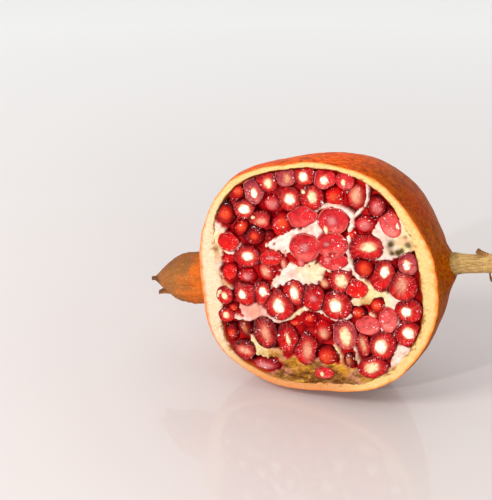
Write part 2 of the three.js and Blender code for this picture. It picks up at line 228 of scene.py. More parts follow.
# %% Shader helpers
class Shader:
    """A Principled material with short ways to add the nodes used here."""

    def __init__(self, name, **plain):
        self.material = bpy.data.materials.new(name)
        self.material.use_nodes = True
        self.tree = self.material.node_tree
        self.surface = self.tree.nodes["Principled BSDF"]
        for socket, value in plain.items():
            self.surface.inputs[socket.replace("_", " ")].default_value = value

    def add(self, kind, inputs=(), **settings):
        made = self.tree.nodes.new(kind)
        for key, value in settings.items():
            setattr(made, key, value)
        for key, value in dict(inputs).items():
            self.feed(made.inputs[key], value)
        return made

    def feed(self, socket, value):
        if isinstance(value, bpy.types.NodeSocket):
            self.tree.links.new(value, socket)
        else:
            socket.default_value = value

    def stored(self, key):
        return self.add("ShaderNodeAttribute", attribute_name=key)

    def noise(self, vector, scale, detail=3, roughness=0.55, stretch=(1, 1, 1)):
        if stretch != (1, 1, 1):
            vector = self.add(
                "ShaderNodeMapping", {"Vector": vector, "Scale": stretch}
            ).outputs[0]
        return self.add("ShaderNodeTexNoise", {
            "Vector": vector, "Scale": scale, "Detail": detail, "Roughness": roughness,
        }).outputs["Fac"]

    def between(self, value, low, high, to_low=0.0, to_high=1.0):
        return self.add("ShaderNodeMapRange", {
            "Value": value, "From Min": low, "From Max": high,
            "To Min": to_low, "To Max": to_high,
        }).outputs[0]

    def mix(self, share, a, b, how="MIX"):
        made = self.add("ShaderNodeMix", data_type="RGBA", blend_type=how)
        for place, value in ((0, share), (6, a), (7, b)):
            if isinstance(value, np.ndarray):
                value = (*value, 1)
            self.feed(made.inputs[place], value)
        return made.outputs[2]

    def bump(self, height, strength, distance, normal=None):
        made = self.add("ShaderNodeBump", {
            "Height": height, "Strength": strength, "Distance": distance,
        })
        if normal is not None:
            self.feed(made.inputs["Normal"], normal)
        self.feed(self.surface.inputs["Normal"], made.outputs[0])
        return made.outputs[0]


print("helpers:", [name for name in vars(Shader) if not name.startswith("_")])

# %% [markdown]
# ## The rind's shape
#
# A pomegranate is a squared-off ball with a neck at both ends. A subdivided sphere would need
# hand moves to get there. A formula is better, because it gives the outside, the inner wall and
# the outline of the cut from the same few numbers: the distance from the middle in a direction
# is that of a superellipsoid, plus the two necks, plus a few broad swellings.

# %% The rind's formula
GIRTH = 45.2
STEM_HALF = {"reach": 45.6, "fullness": 2.2, "neck": 5.3}
CALYX_HALF = {"reach": 43.4, "fullness": 2.35, "neck": 5.0}
NECK_SPREAD = 9
BODY_LIFT = np.array([0, 0.7, 0])
UNEVEN = [
    ((0.15, -0.9, -0.44), 26, 7.0),  # sagging underside
    ((-0.75, 0.25, -0.6), 40, -3.5),  # slack calyx side of the back
    ((-0.25, 0.8, -0.55), 35, -6.0),  # flat shoulder
    ((0.6, 0.55, -0.6), 35, 1.5),  # full stem side
]
RIM_UNEVEN = np.array([0, -0.5, 0, 0.5, 1.5, 0.5, 0.5, 3, 1, -0.5, 1.5, 1.5])
WALL = np.array([
    (0, 5.0), (25, 4.0), (45, 2.7), (70, 2.2), (90, 2.0), (112, 2.4), (128, 2.8), (142, 3.0),
    (156, 6.0), (170, 7.6), (182, 8.8), (197, 7.5), (215, 3.2), (232, 2.5), (252, 2.8),
    (270, 3.2), (290, 3.2), (310, 3.8), (330, 4.2), (345, 4.2), (360, 5.0),
])
BACK_WALL = 4.0


def half_radius(direction, half):
    """((|x|/reach)^p + (across/girth)^p)^(-1/p), and the neck's bell round the axis."""
    along = np.abs(direction[..., 0]) / half["reach"]
    across = np.hypot(direction[..., 1], direction[..., 2]) / GIRTH
    p = half["fullness"]
    off_axis = np.arccos(np.clip(np.abs(direction[..., 0]), 0, 1))
    return (along**p + across**p) ** (-1 / p) + half["neck"] * bell(off_axis, NECK_SPREAD)


def turn_on_face(direction):
    """Degrees round the cut face, from the stem side (0) over the top (90)."""
    return np.degrees(np.arctan2(direction[..., 1], direction[..., 0])) % 360


def fruit_radius(direction):
    """Distance from the middle to the skin: one half's radius, the swellings and the rim's."""
    radius = np.where(
        direction[..., 0] >= 0,
        half_radius(direction, STEM_HALF),
        half_radius(direction, CALYX_HALF),
    )
    for towards, spread, height in UNEVEN:
        towards = np.array(towards) / np.linalg.norm(towards)
        radius = radius + height * bell(np.arccos(np.clip(direction @ towards, -1, 1)), spread)
    station = turn_on_face(direction) / 30
    first = np.floor(station).astype(int) % 12
    share = smooth(station % 1, 0, 1)
    rim = RIM_UNEVEN[first] * (1 - share) + RIM_UNEVEN[(first + 1) % 12] * share
    return radius + rim * (1 - smooth(-direction[..., 2], 0, 0.7))


def wall_thickness(direction):
    """Read from WALL round the cut face, evening out to BACK_WALL behind it."""
    at_cut = np.interp(turn_on_face(direction), WALL[:, 0], WALL[:, 1])
    behind = smooth(-direction[..., 2], 0, 0.6)
    return at_cut * (1 - behind) + BACK_WALL * behind


def cavity_radius(direction):
    """The skin's radius less the wall, a little wavy as the arils press into it."""
    wavy = 0.22 * bumps(40 * direction, 7, 11) + 0.1 * bumps(40 * direction, 2.5, 12)
    return fruit_radius(direction) - wall_thickness(direction) + wavy


print("half width, to the stem, to the calyx:", GIRTH, STEM_HALF, CALYX_HALF)

# %% [markdown]
# The rings go round the cut face's middle, so that one ring can lie exactly on the knife's edge.
# `lean` is the angle from the cut face's normal: 0 looks out of the face and 180 degrees
# straight back. Where the skin passes a level is found by halving an interval thirty times, for
# all directions at once.

# %% Rings round the cut face
AROUND = 400
ROUND = np.arange(AROUND) * 2 * np.pi / AROUND


def towards(turn, lean):
    """The unit direction (cos turn sin lean, sin turn sin lean, cos lean)."""
    return np.stack([
        np.cos(turn) * np.sin(lean), np.sin(turn) * np.sin(lean), np.cos(lean) + 0 * turn,
    ], -1)


def lean_at(radius, level, turn=ROUND):
    """The lean at which radius * cos(lean) comes down to a level, by halving intervals."""
    low, high = np.full(len(turn), 0.6), np.full(len(turn), 1.7)
    for _ in range(30):
        middle = (low + high) / 2
        above = radius(towards(turn, middle)) * np.cos(middle) > level
        low, high = np.where(above, middle, low), np.where(above, high, middle)
    return (low + high) / 2


def rings_behind(radius, from_lean, count, first=0.0):
    """Rings from the lean at the cut back to the pole, and the directions they lie in."""
    share = np.linspace(first, 1, count + 1)[:-1, None]
    direction = towards(ROUND[None], from_lean + (np.pi - from_lean) * share)
    return direction * radius(direction)[..., None] + BODY_LIFT, direction


print("points in a ring:", AROUND)

# %% [markdown]
# The skin of a ripe fruit is leathery: long shallow dents, a fine grain, and wrinkles that run
# into the two necks. The rind rests on the table, and its weight presses the underside flat, so
# whatever would go below the table is pressed up to it with a soft edge.

# %% The rind's outside
SOFT_EDGE = 0.35  # mm over which the pressed flat turns into the round underside


def press_on_table(points):
    """Height h becomes (h + sqrt(h^2 + e^2)) / 2, which is never below the table."""
    placed = to_row(points)
    height = placed[..., 2] / MM
    pressed = (height + np.sqrt(height**2 + SOFT_EDGE**2)) / 2
    placed[..., 2] = np.where(height < 4, pressed, height) * MM
    return to_fruit(placed)


def skin_radius(direction):
    """The fruit's radius with dents, grain and wrinkles round the necks."""
    places = 45 * direction
    off_axis = np.arccos(np.clip(np.abs(direction[..., 0]), 0, 1))
    round_axis = np.arctan2(direction[..., 2], direction[..., 1])
    wrinkles = np.cos(11 * round_axis + 2 * bumps(places, 20, 3)) * bell(off_axis - 0.16, 9)
    relief = 0.22 * bumps(places, 17, 1) + 0.07 * bumps(places, 4.5, 2) + 0.12 * wrinkles
    stem_shoulder = bell(off_axis - 0.28, 8) * (direction[..., 0] > 0)
    return fruit_radius(direction) + relief - 0.2 + 0.9 * stem_shoulder


EDGE_ROUNDING = 0.22
skin_lean = lean_at(skin_radius, CUT - EDGE_ROUNDING)
skin_rings, skin_directions = rings_behind(skin_radius, skin_lean, 150)
skin_rings = press_on_table(skin_rings)[::-1]
skin_directions = skin_directions[::-1]
skin_pole = press_on_table(
    BODY_LIFT + np.array([[0, 0, -skin_radius(np.array([[0, 0, -1.0]]))[0]]])
)
print("skin rings:", skin_rings.shape)

# %% [markdown]
# The knife leaves the rind's pale inner layer as a band round the face. It is spongy, so it is
# not quite flat: it sags a little towards its inner edge, and the arils have left shallow prints
# along it.

# %% The cut band and the inner wall
BAND_RINGS = 14
WALL_RINGS = 34
inner_lean = lean_at(cavity_radius, CUT)
outer_edge = skin_rings[-1]
inner_direction = towards(ROUND, inner_lean)
inner_edge = inner_direction * cavity_radius(inner_direction)[:, None] + BODY_LIFT
band_share = np.linspace(0.02, 1, BAND_RINGS)
band_rings = blended(outer_edge[None], inner_edge[None], np.tile(band_share[:, None], AROUND))
band_sag = 0.12 * smooth(band_share, 0.2, 0.9) + 0.5 * smooth(band_share, 0.9, 1)
band_prints = 0.1 * bumps(band_rings, 3.2, 5) + 0.05 * bumps(band_rings, 1.1, 6)
band_rings[..., 2] = CUT - band_sag[:, None] + band_prints * smooth(band_share, 0, 0.3)[:, None]
band_rings[..., 2] = np.minimum(band_rings[..., 2], CUT)
wall_rings, _ = rings_behind(cavity_radius, inner_lean, WALL_RINGS, first=0.02)
rind_rings = np.concatenate([skin_rings, band_rings, wall_rings])
inner_pole = BODY_LIFT + np.array([[0, 0, -cavity_radius(np.array([[0, 0, -1.0]]))[0]]])
print("band is", np.round(np.linalg.norm(outer_edge - inner_edge, axis=1)[::100], 1), "mm wide")

# %% [markdown]
# ## The rind's colours
#
# The skin is painted in broad zones first: orange low down and at the calyx side, redder over
# the top, brown towards the stem with an olive patch, and a bright orange line just behind the
# cut. The pale layer goes from warm yellow under the skin to cream, and blushes pink at the
# calyx side where it is thickest.

# %% Paint the rind
SKIN_ORANGE = colour(240, 116, 12)
SKIN_RED = colour(250, 104, 22)
SKIN_BROWN = colour(176, 68, 0)
SKIN_OLIVE = colour(170, 94, 0)
SKIN_PEACH = colour(242, 160, 104)
EDGE_ORANGE = colour(236, 112, 14)


def skin_paint(points):
    """Broad zones of colour, each blended in by smooth steps and a bumpy field."""
    x, y, z = np.moveaxis(points, -1, 0)
    patchy = bumps(points, 24, 21)
    paint = np.broadcast_to(SKIN_ORANGE, points.shape)
    paint = blended(paint, SKIN_RED, 0.9 * smooth(y + 0.5 * x + 8 * patchy, -5, 32))
    paint = blended(paint, SKIN_BROWN, 0.9 * smooth(x - 0.25 * y + 5 * patchy, -2, 26))
    paint = blended(paint, SKIN_OLIVE, 0.8 * smooth(x - 0.5 * y + 5 * bumps(points, 12, 22), 22, 42))
    paint = blended(paint, SKIN_OLIVE, 0.5 * bell(np.radians(np.hypot(x - 30, y - 33)), 7))
    paint = blended(paint, SKIN_PEACH, 0.8 * smooth(-x - 0.2 * np.abs(y) + z, 30, 50))
    return blended(paint, EDGE_ORANGE, 0.75 * smooth(z, CUT - 1.6, CUT - 0.2))


CREAM = colour(238, 206, 138)
CREAM_YELLOW = colour(238, 168, 58)
CREAM_PINK = colour(250, 218, 190)
CREAM_BROWN = colour(214, 128, 74)
STAIN = colour(150, 98, 22)


def band_paint(points, share):
    """Yellow under the skin to cream inside, pink at the calyx, stained at the inner edge."""
    turn = turn_on_face(points - BODY_LIFT)
    paint = blended(CREAM_YELLOW, CREAM, smooth(share + 0.12 * bumps(points, 3, 31), 0, 0.35))
    at_calyx = smooth(turn, 120, 160) * (1 - smooth(turn, 205, 235))
    paint = blended(paint, CREAM_PINK, 0.9 * at_calyx)
    paint = blended(paint, CREAM_BROWN, 0.7 * at_calyx * (1 - smooth(share, 0, 0.3)))
    below = smooth(turn, 205, 245) * (1 - smooth(turn, 268, 300))
    paint = blended(paint, CREAM_BROWN, 0.85 * below)
    paint = blended(paint, EDGE_ORANGE, 0.85 * (1 - smooth(share + 0.05 * bumps(points, 2, 34), 0.03, 0.2)))
    at_right = bell(np.radians(turn - 330), 45)
    inner = smooth(share + 0.16 * bumps(points, 1.6, 33) + 0.1 * at_right, 0.84, 1.0)
    stained = smooth(bumps(points, 9, 32) + 0.7 * at_right, -0.3, 0.7)
    return blended(paint, STAIN, inner * (0.25 + 0.75 * stained))


skin_colours = skin_paint(skin_rings)
band_colours = band_paint(band_rings, np.tile(band_share[:, None], AROUND))
wall_colours = np.broadcast_to(colour(164, 88, 34), wall_rings.shape)
rind_paint = np.vstack([
    np.concatenate([skin_colours, band_colours, wall_colours]).reshape(-1, 3),
    skin_colours[0, :1],
    wall_colours[-1, :1],
])


def lengthways(points):
    """Places squeezed along the axis, so that noise on them makes streaks from end to end."""
    return points * np.array([0.16, 0.5, 0.5])


rind_points = np.vstack([rind_rings.reshape(-1, 3), skin_pole, inner_pole])
# Where the painted sheen goes: the upper shoulder at the stem side, behind the cut face.
sheen_shoulder = smooth(rind_points[:, 1] + 0.5 * rind_points[:, 0], 28, 44)
rind_shine = 0.3 * sheen_shoulder * (1 - smooth(rind_points[:, 2], -6, 4))
rind = closed_mesh(
    "rind_grown",
    rind_rings,
    np.vstack([skin_pole, inner_pole]),
    {"paint": rind_paint, "streaks": lengthways(rind_points), "shine": rind_shine},
    np.r_[np.zeros(len(skin_rings) - 1), np.ones(BAND_RINGS + WALL_RINGS)],
)
print("rind:", len(rind.data.polygons), "faces")

# %% [markdown]
# Close up, the skin has fine streaks that run from end to end, freckles, and a grain like
# leather. The streaks are noise on coordinates that are squeezed along the axis. Its waxy shine
# is a painted sheen: pale streaks painted into the colour on the upper shoulder.

# %% Skin and pale layer materials
skin = Shader("rind_skin", Roughness=0.4, Specular_IOR_Level=0.02)
painted = skin.stored("paint").outputs["Color"]
lines = skin.stored("streaks").outputs["Vector"]
places = skin.stored("fruit_mm").outputs["Vector"]
fine_lines = skin.noise(lines, 2.2, 5, 0.62)
broad_lines = skin.noise(lines, 0.55, 3, 0.5)
freckles = skin.noise(places, 1.1, 2, 0.5)
skin_base = skin.mix(
    skin.between(fine_lines, 0.4, 0.62), painted, skin.mix(1.0, painted, colour(196, 140, 90), "MULTIPLY")
)
skin_base = skin.mix(skin.between(broad_lines, 0.52, 0.72, 0, 0.5), skin_base, colour(214, 92, 4))
blotches = skin.noise(places, 0.2, 4, 0.65)
skin_base = skin.mix(skin.between(blotches, 0.5, 0.66, 0, 0.55), skin_base, colour(128, 50, 0))
# Painted highlight: pale streaks on that shoulder stand for the skin's sheen.
sheen_streaks = skin.between(skin.noise(lines, 4.6, 3, 0.7), 0.6, 0.68)
shine = skin.add("ShaderNodeMath", {0: sheen_streaks, 1: skin.stored("shine").outputs["Fac"]},
                 operation="MULTIPLY").outputs[0]
skin_base = skin.mix(shine, skin_base, colour(240, 190, 160))
skin_base = skin.mix(skin.between(freckles, 0.6, 0.72, 0, 0.5), skin_base, colour(84, 34, 2))
skin.feed(skin.surface.inputs["Base Color"], skin_base)
grain = skin.noise(places, 2.6, 4, 0.6)
skin_normal = skin.bump(fine_lines, 0.25, 0.0004)
skin.bump(grain, 0.3, 0.0003, skin_normal)
rind.data.materials.append(skin.material)

pale = Shader(
    "rind_pale_layer", Roughness=0.5, IOR=1.4, Subsurface_Weight=0.25,
    Subsurface_Radius=(0.8, 0.5, 0.25), Subsurface_Scale=0.0015,
)
places = pale.stored("fruit_mm").outputs["Vector"]
sponge = pale.noise(places, 1.5, 4, 0.6)
pale_base = pale.mix(
    pale.between(sponge, 0.42, 0.7, 0, 0.6),
    pale.stored("paint").outputs["Color"],
    colour(230, 164, 92),
)
pale.feed(pale.surface.inputs["Base Color"], pale_base)
pale.bump(sponge, 0.4, 0.0004)
rind.data.materials.append(pale.material)

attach(rind, "root")
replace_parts(rind, "rind")
print("materials on the rind:", len(rind.data.materials))

# %% [markdown]
# ## The pith and its membranes
#
# Inside, white pith walls divide the fruit into chambers, and the knife has cut across them at
# odd angles. From the front they are a relief: thin ridges that wander between the arils, broad
# pads where a wall was cut along its length, and the ragged spongy core in the middle. A relief
# is one height for each place on the face, so it is worked out as a square grid of heights, bent
# into the round of the cavity.

# %% The relief's grid
GRID = 218
u, v = np.meshgrid(np.linspace(-1, 1, GRID), np.linspace(-1, 1, GRID), indexing="ij")
disc_x, disc_y = u * np.sqrt(1 - v * v / 2), v * np.sqrt(1 - u * u / 2)
disc_turn = np.degrees(np.arctan2(disc_y, disc_x)) % 360
opening = np.hypot(*(inner_edge - BODY_LIFT)[:, :2].T)
opening_turn = np.degrees(np.arctan2(*(inner_edge - BODY_LIFT)[:, [1, 0]].T)) % 360
order = np.argsort(opening_turn)
reach = np.interp(disc_turn, opening_turn[order], opening[order], period=360) + 1.0
face_x = disc_x * reach
face_y = disc_y * reach + BODY_LIFT[1]
flat_face = np.stack([face_x, face_y, np.zeros_like(face_x)], -1)
print("one relief cell is", round(2 * opening.mean() / GRID, 2), "mm")

# %% [markdown]
# Ridges follow smooth lines through a few points. Pads are outlines. Both are measured by their
# distance on the face, which turns into height with a soft shoulder. A little bumpiness added to
# the distance makes the edges ragged.

# %% Distances on the face
def smooth_line(points, steps=8):
    """A Catmull-Rom curve: each piece is the cubic through its ends with chord tangents."""
    p = np.array(points, float)
    p = np.vstack([2 * p[0] - p[1], p, 2 * p[-1] - p[-2]])
    t = np.linspace(0, 1, steps, endpoint=False)[None, :, None]
    a, b, c, d = p[:-3, None], p[1:-2, None], p[2:-1, None], p[3:, None]
    cubic = 2 * b + (c - a) * t + (2 * a - 5 * b + 4 * c - d) * t**2
    cubic = (cubic + (3 * b - a - 3 * c + d) * t**3) / 2
    return np.vstack([cubic.reshape(-1, 2), p[-2]])


def distance_to_line(x, y, line):
    """The least distance from each place to the pieces of a line."""
    best = np.full(x.shape, 1e9)
    for (ax, ay), (bx, by) in zip(line[:-1], line[1:]):
        dx, dy = bx - ax, by - ay
        share = np.clip(((x - ax) * dx + (y - ay) * dy) / (dx * dx + dy * dy), 0, 1)
        best = np.minimum(best, np.hypot(x - ax - share * dx, y - ay - share * dy))
    return best


def distance_to_outline(x, y, outline):
    """Distance to a closed outline, negative inside, where a ray crosses it an odd number of times."""
    corners = np.array(outline + outline[:1], float)
    inside = np.zeros(x.shape, bool)
    for (ax, ay), (bx, by) in zip(corners[:-1], corners[1:]):
        if ay != by:
            crossing = ax + (y - ay) * (bx - ax) / (by - ay)
            inside ^= ((ay > y) != (by > y)) & (x < crossing)
    return np.where(inside, -1, 1) * distance_to_line(x, y, corners)


four_above = distance_to_line(np.array([3.0]), np.array([4.0]), [(-9, 0), (9, 0)])
print("from 4 mm above a line to the line:", float(four_above[0]))

# %% Ridges and pads
RIDGES = [  # width, and a line on the face
    (1.1, [(-36, -11), (-27, -14.5), (-19, -12.8), (-14, -15.2), (-7, -12.5), (-3, -10.2),
           (3, -11.5), (9, -14.8), (15, -12), (17, -7)]),
    (1.2, [(-14, 14.5), (-5, 18.5), (4, 20), (6, 27), (13, 27.6), (18.5, 24), (17, 18),
           (15.6, 11), (17, 3), (23, -2.5)]),
    (0.5, [(25, 35), (24.3, 29), (21, 25.2), (17.5, 22)]),
    (0.8, [(21, -12.5), (25, -18.5), (29.3, -20.3), (30.6, -14), (29.3, -7)]),
    (0.8, [(6.5, -24.5), (8, -28), (8.5, -34)]),
    (0.8, [(13.5, -24), (14, -28), (15, -33)]),
    (0.8, [(-34, 20), (-32.5, 13.5), (-27, 12), (-25, 15)]),
]
PADS = [
    [(-13, 13.5), (-9, 17.5), (-2, 20.5), (-4, 15.5), (-5, 12), (-9, 11.5)],
    [(0, 20), (6, 25), (7.5, 20), (5.3, 15.2)],
    [(25, 17.5), (28, 22), (36, 22), (40, 12), (31, 8), (25.5, 7.8), (28.5, 12)],
    [(-15, -2), (-12, 3), (-6, 7), (3, 7), (8, 6.5), (15.5, 6.5), (15.5, 3.5), (7, 4.5),
     (2.5, -1), (-9, -1)],
    [(14, -8), (21, -1), (28, -4.5), (33, -8), (29, -12), (20, -8.5), (16, -9)],
    [(-28.5, -8.5), (-22, -7.5), (-18, -12.5), (-28, -14.5)],
    [(25, -36), (29, -25), (33, -24), (36, -27), (30, -36)],
    [(-26, -21.5), (-24.8, -29), (-16, -30.5), (-12.5, -33), (-15, -27.5)],
    [(-29, -38), (-20, -37), (-15, -34.5), (-13.5, -31.5), (-9, -29), (9, -33), (16, -36),
     (30, -36), (16, -45), (-16, -45), (-29, -42)],
    [(-42, 24), (-33, 24), (-30, 21), (-32.5, 12), (-35, 3), (-31, -2), (-42, -4)],
    [(-42, -15.5), (-38, -16.5), (-37.5, -23), (-36, -25), (-42, -25)],
]
BED = CUT - 2.4
TOP = CUT - 0.35
DEEP_SPACING = 6.2  # mm between the arils of the next layer down


def deep_domes(x, y):
    """The next layer of arils, as domes: sqrt(1 - (d/r)^2) of the distance d to the nearest of
    a grid of middles that are jittered."""
    rng = np.random.default_rng(9)
    lines = np.arange(-45, 46, DEEP_SPACING)
    middles = np.stack(np.meshgrid(lines, lines), -1).reshape(-1, 2)
    middles = middles + rng.uniform(-1.8, 1.8, middles.shape)
    nearest = np.full(x.shape, 1e9)
    for middle_x, middle_y in middles:
        nearest = np.minimum(nearest, np.hypot(x - middle_x, y - middle_y))
    return np.sqrt(np.clip(1 - (nearest / (0.72 * DEEP_SPACING)) ** 2, 0, 1))


ragged = 0.45 * bumps(flat_face, 2.6, 41) + 0.2 * bumps(flat_face, 1.1, 42)
core_ragged = ragged * (1 + 1.3 * bell(np.radians(np.hypot(face_x + 1, face_y - 4)), 11))
raised = np.zeros_like(face_x)
for width, line in RIDGES:
    off = distance_to_line(face_x, face_y, smooth_line(line)) + 0.6 * ragged
    raised = np.maximum(raised, 1 - smooth(off, width / 2 - 0.1, width / 2 + 0.7))
for outline in PADS:
    off = distance_to_outline(face_x, face_y, outline) + core_ragged
    raised = np.maximum(raised, 1 - smooth(off, -0.2, 1.1))
print("raised share of the face:", round(float(raised.mean()), 2))

# %% [markdown]
# The colour of the pith tells how it was cut: clean white across a wall, yellow and spongy where
# it is old, brown where it dried, and pink wherever juice soaked in. Down between the arils it is
# juice red, with painted shade: dark in the gaps between the deeper arils, brighter on their tops.

# %% Paint the pith
PITH_WHITE = colour(246, 226, 214)
PITH_CREAM = colour(244, 222, 158)
PITH_OCHRE = colour(204, 138, 30)
PITH_BROWN = colour(112, 64, 2)
PITH_PINK = colour(232, 150, 132)
PITH_PALE = colour(236, 204, 184)
PITH_MOULD = colour(84, 64, 8)
JUICE_DARK = colour(112, 0, 6)
JUICE_BRIGHT = colour(184, 6, 10)
LINING = colour(168, 84, 24)
TINTS = [  # colour, middle on the face, reach, strength
    (PITH_CREAM, (36.5, 14), 4, 0.9), (PITH_CREAM, (38, 19), 3, 0.8), (PITH_OCHRE, (38, 9), 1.6, 0.8),
    (PITH_MOULD, (31, 13.5), 1.4, 1), (PITH_MOULD, (33.2, 10.4), 1.2, 1),
    (PITH_MOULD, (31.2, 10.2), 1, 1), (PITH_MOULD, (36.8, 13.2), 1.1, 0.9),
    (PITH_MOULD, (34.6, 11.2), 0.9, 1), (PITH_MOULD, (36.2, 15.8), 0.8, 0.7),
    (PITH_CREAM, (22, -5), 7, 0.85), (PITH_OCHRE, (20, -8.5), 3, 0.6), (PITH_CREAM, (3, 5), 5, 0.55),
    (PITH_OCHRE, (18, -38), 5, 0.9), (PITH_OCHRE, (-22, -38), 6, 0.9), (PITH_BROWN, (22, -39), 4, 0.8),
    (PITH_PINK, (-23, -10.5), 5, 0.85), (PITH_CREAM, (-6, -12.5), 4, 0.6),
    (PITH_OCHRE, (-3, -38), 16, 0.95), (PITH_CREAM, (-22, -26), 6, 0.8), (PITH_OCHRE, (-15, -31), 6, 0.9),
    (PITH_BROWN, (-6, -37), 8, 0.95), (PITH_BROWN, (8, -39), 7, 0.9),
    (PITH_OCHRE, (-9, -32), 4, 0.8), (PITH_BROWN, (-17, -34), 4, 0.7),
    (PITH_OCHRE, (9, -33), 4, 0.8), (PITH_CREAM, (8, -26), 2.5, 0.8),
    (PITH_OCHRE, (27, -36), 4, 0.7), (PITH_OCHRE, (-35, 12), 2.5, 0.7),
    (PITH_CREAM, (-36, 17), 5, 0.7), (PITH_BROWN, (-34.5, 14), 1.3, 0.7),
    (PITH_OCHRE, (-32, 0.5), 2.5, 0.8), (PITH_PINK, (-36, 4), 4, 0.4),
]

pith_paint = blended(PITH_WHITE, PITH_PALE, smooth(bumps(flat_face, 4.5, 47), -0.2, 0.9))
spots = 0.35 * bumps(flat_face, 3.4, 43)
aged_share = np.zeros_like(face_x)
for tint, (x, y), tint_reach, strength in TINTS:
    near = np.exp(-((np.hypot(face_x - x, face_y - y) / tint_reach) ** 2) * (1 + spots))
    near = strength * np.minimum(1, 1.4 * near)
    pith_paint = blended(pith_paint, tint, near)
    if tint is PITH_BROWN:
        aged_share = aged_share + near
    if tint is PITH_OCHRE:
        aged_share = aged_share + 0.3 * near
soaked = smooth(bumps(flat_face, 6, 44), 0.2, 1.1)
pith_paint = blended(pith_paint, PITH_PINK, 0.4 * soaked)
pith_paint = blended(pith_paint, PITH_PINK, 0.7 * (1 - smooth(raised, 0.6, 1.0)))
domes = deep_domes(face_x, face_y)
# Painted shade: the juice red is dark in the gaps between the deeper arils and bright on their tops.
juice_with_painted_shade = blended(JUICE_DARK, JUICE_BRIGHT, smooth(domes, 0.3, 0.95))
pith_paint = blended(juice_with_painted_shade, pith_paint, smooth(raised, 0.25, 0.8))
lining = smooth(np.hypot(disc_x, disc_y), 0.95, 0.985) * (1 - raised)
pith_paint = blended(pith_paint, LINING, lining)
print("colours on the pith, one per point:", pith_paint.shape)

# %% [markdown]
# The grid becomes a closed solid: the relief on top, and under it the same grid turned into a
# shallow bowl, joined along the border. The whole is one mesh, so a slicer could print it.

# %% The pith's mesh
pith_bumps = 0.22 * bumps(flat_face, 2.2, 45) + 0.1 * bumps(flat_face, 0.9, 46)
near_wall = smooth(np.hypot(disc_x, disc_y), 0.965, 1.0)
floor_level = BED + 1.6 * (domes - 0.5)
height = floor_level + (TOP - floor_level) * raised + pith_bumps * (0.2 + 1.2 * raised)
height = height + (CUT - 0.6 - height) * lining
height = np.minimum(height, CUT - 0.05) - 0.15 * near_wall
bowl_depth = 24 * np.sqrt(np.clip(1 - (disc_x**2 + disc_y**2), 0, 1))
upper = np.stack([face_x, face_y, height], -1).reshape(-1, 3)
lower = np.stack([face_x, face_y, BED - 3 - bowl_depth], -1).reshape(-1, 3)


def grid_quads(start):
    """Quads of a GRID by GRID sheet whose first point has the number start."""
    i, j = np.meshgrid(np.arange(GRID - 1), np.arange(GRID - 1), indexing="ij")
    first = start + i * GRID + j
    return np.stack([first, first + GRID, first + GRID + 1, first + 1], -1).reshape(-1, 4)


border = np.r_[
    np.arange(GRID - 1) * GRID,
    (GRID - 1) * GRID + np.arange(GRID - 1),
    (np.arange(GRID - 1, 0, -1)) * GRID + GRID - 1,
    np.arange(GRID - 1, 0, -1),
]
after = np.roll(border, -1)
under = GRID * GRID
side = np.stack([border, border + under, after + under, after], -1)
pith_faces = np.vstack([grid_quads(0), grid_quads(under)[:, ::-1], side])
pith_points = np.vstack([upper, lower])
pith_mesh = bpy.data.meshes.new("pith_grown")
pith_mesh.from_pydata(to_row(pith_points).tolist(), [], pith_faces.tolist())
pith_mesh.polygons.foreach_set("use_smooth", np.ones(len(pith_faces), bool))
store(pith_mesh, "fruit_mm", pith_points)
store(pith_mesh, "paint", np.vstack([pith_paint.reshape(-1, 3)] * 2))
store(pith_mesh, "firm", np.tile(smooth(raised, 0.3, 0.8).ravel(), 2))
store(pith_mesh, "aged", np.tile((np.clip(aged_share, 0, 1) * smooth(raised, 0.3, 0.8)).ravel(), 2))
pith = bpy.data.objects.new("pith_grown", pith_mesh)
bpy.context.scene.collection.objects.link(pith)
print("pith volume, cm3:", round(volume(pith_points, pith_faces) / 1000, 1))

# %% Pith material
spongy = Shader(
    "pith_sponge", Roughness=0.38, Specular_IOR_Level=0.12, Subsurface_Weight=0.2,
    Subsurface_Radius=(1.0, 0.5, 0.4), Subsurface_Scale=0.0012,
)
places = spongy.stored("fruit_mm").outputs["Vector"]
firm = spongy.stored("firm").outputs["Fac"]
aged = spongy.stored("aged").outputs["Fac"]
pores = spongy.noise(places, 2.2, 4, 0.65)
veins = spongy.noise(places, 0.9, 3, 0.5, (1, 2.5, 1))
mottled = spongy.noise(places, 0.4, 5, 0.65, (0.8, 1.2, 1))


def of_both(first, second):
    """The product of two shares."""
    return spongy.add("ShaderNodeMath", {0: first, 1: second}, operation="MULTIPLY").outputs[0]


sponge_base = spongy.mix(
    of_both(firm, spongy.between(pores, 0.5, 0.75, 0, 0.35)),
    spongy.stored("paint").outputs["Color"], colour(214, 172, 136),
)
sponge_base = spongy.mix(
    of_both(firm, spongy.between(veins, 0.55, 0.75, 0, 0.3)), sponge_base, colour(226, 120, 110)
)
sponge_base = spongy.mix(
    of_both(aged, spongy.between(mottled, 0.5, 0.64, 0, 0.85)), sponge_base, colour(82, 36, 0)
)
sponge_base = spongy.mix(
    of_both(aged, spongy.between(mottled, 0.34, 0.46, 0.75, 0)), sponge_base, colour(232, 176, 52)
)
spongy.feed(spongy.surface.inputs["Base Color"], sponge_base)
spongy.bump(pores, 0.5, 0.0004)
pith.data.materials.append(spongy.material)
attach(pith, "root")
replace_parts(pith, "pith")
print("materials on the pith:", len(pith.data.materials))

# %% [markdown]
# ## Arils
#
# An aril is a thin skin full of juice round one seed. They grow packed together, so each has
# flat sides where it presses on its neighbours and rounded edges between them. The CAD solids
# hold those flats. A radius in every direction is found from them: the nearest flat in that
# direction, with the minimum made soft so that the edges come out round.
#
# Small arils between the large ones have no CAD node. They are plain eggs, with the same rings.

# %% Shape of an aril
ARIL_AROUND = 56
CAP_RINGS = 15
SIDE_RINGS = 18
SOFTNESS = 30  # the higher, the sharper the edges between an aril's flats
PLUMP_WALL = 1.08  # the walls between arils move out until they touch
PLUMP_EGG = 1.08  # and their free sides swell a little more
CUT_LEVEL = CUT + 0.02
aril_turns = np.arange(ARIL_AROUND) * 2 * np.pi / ARIL_AROUND


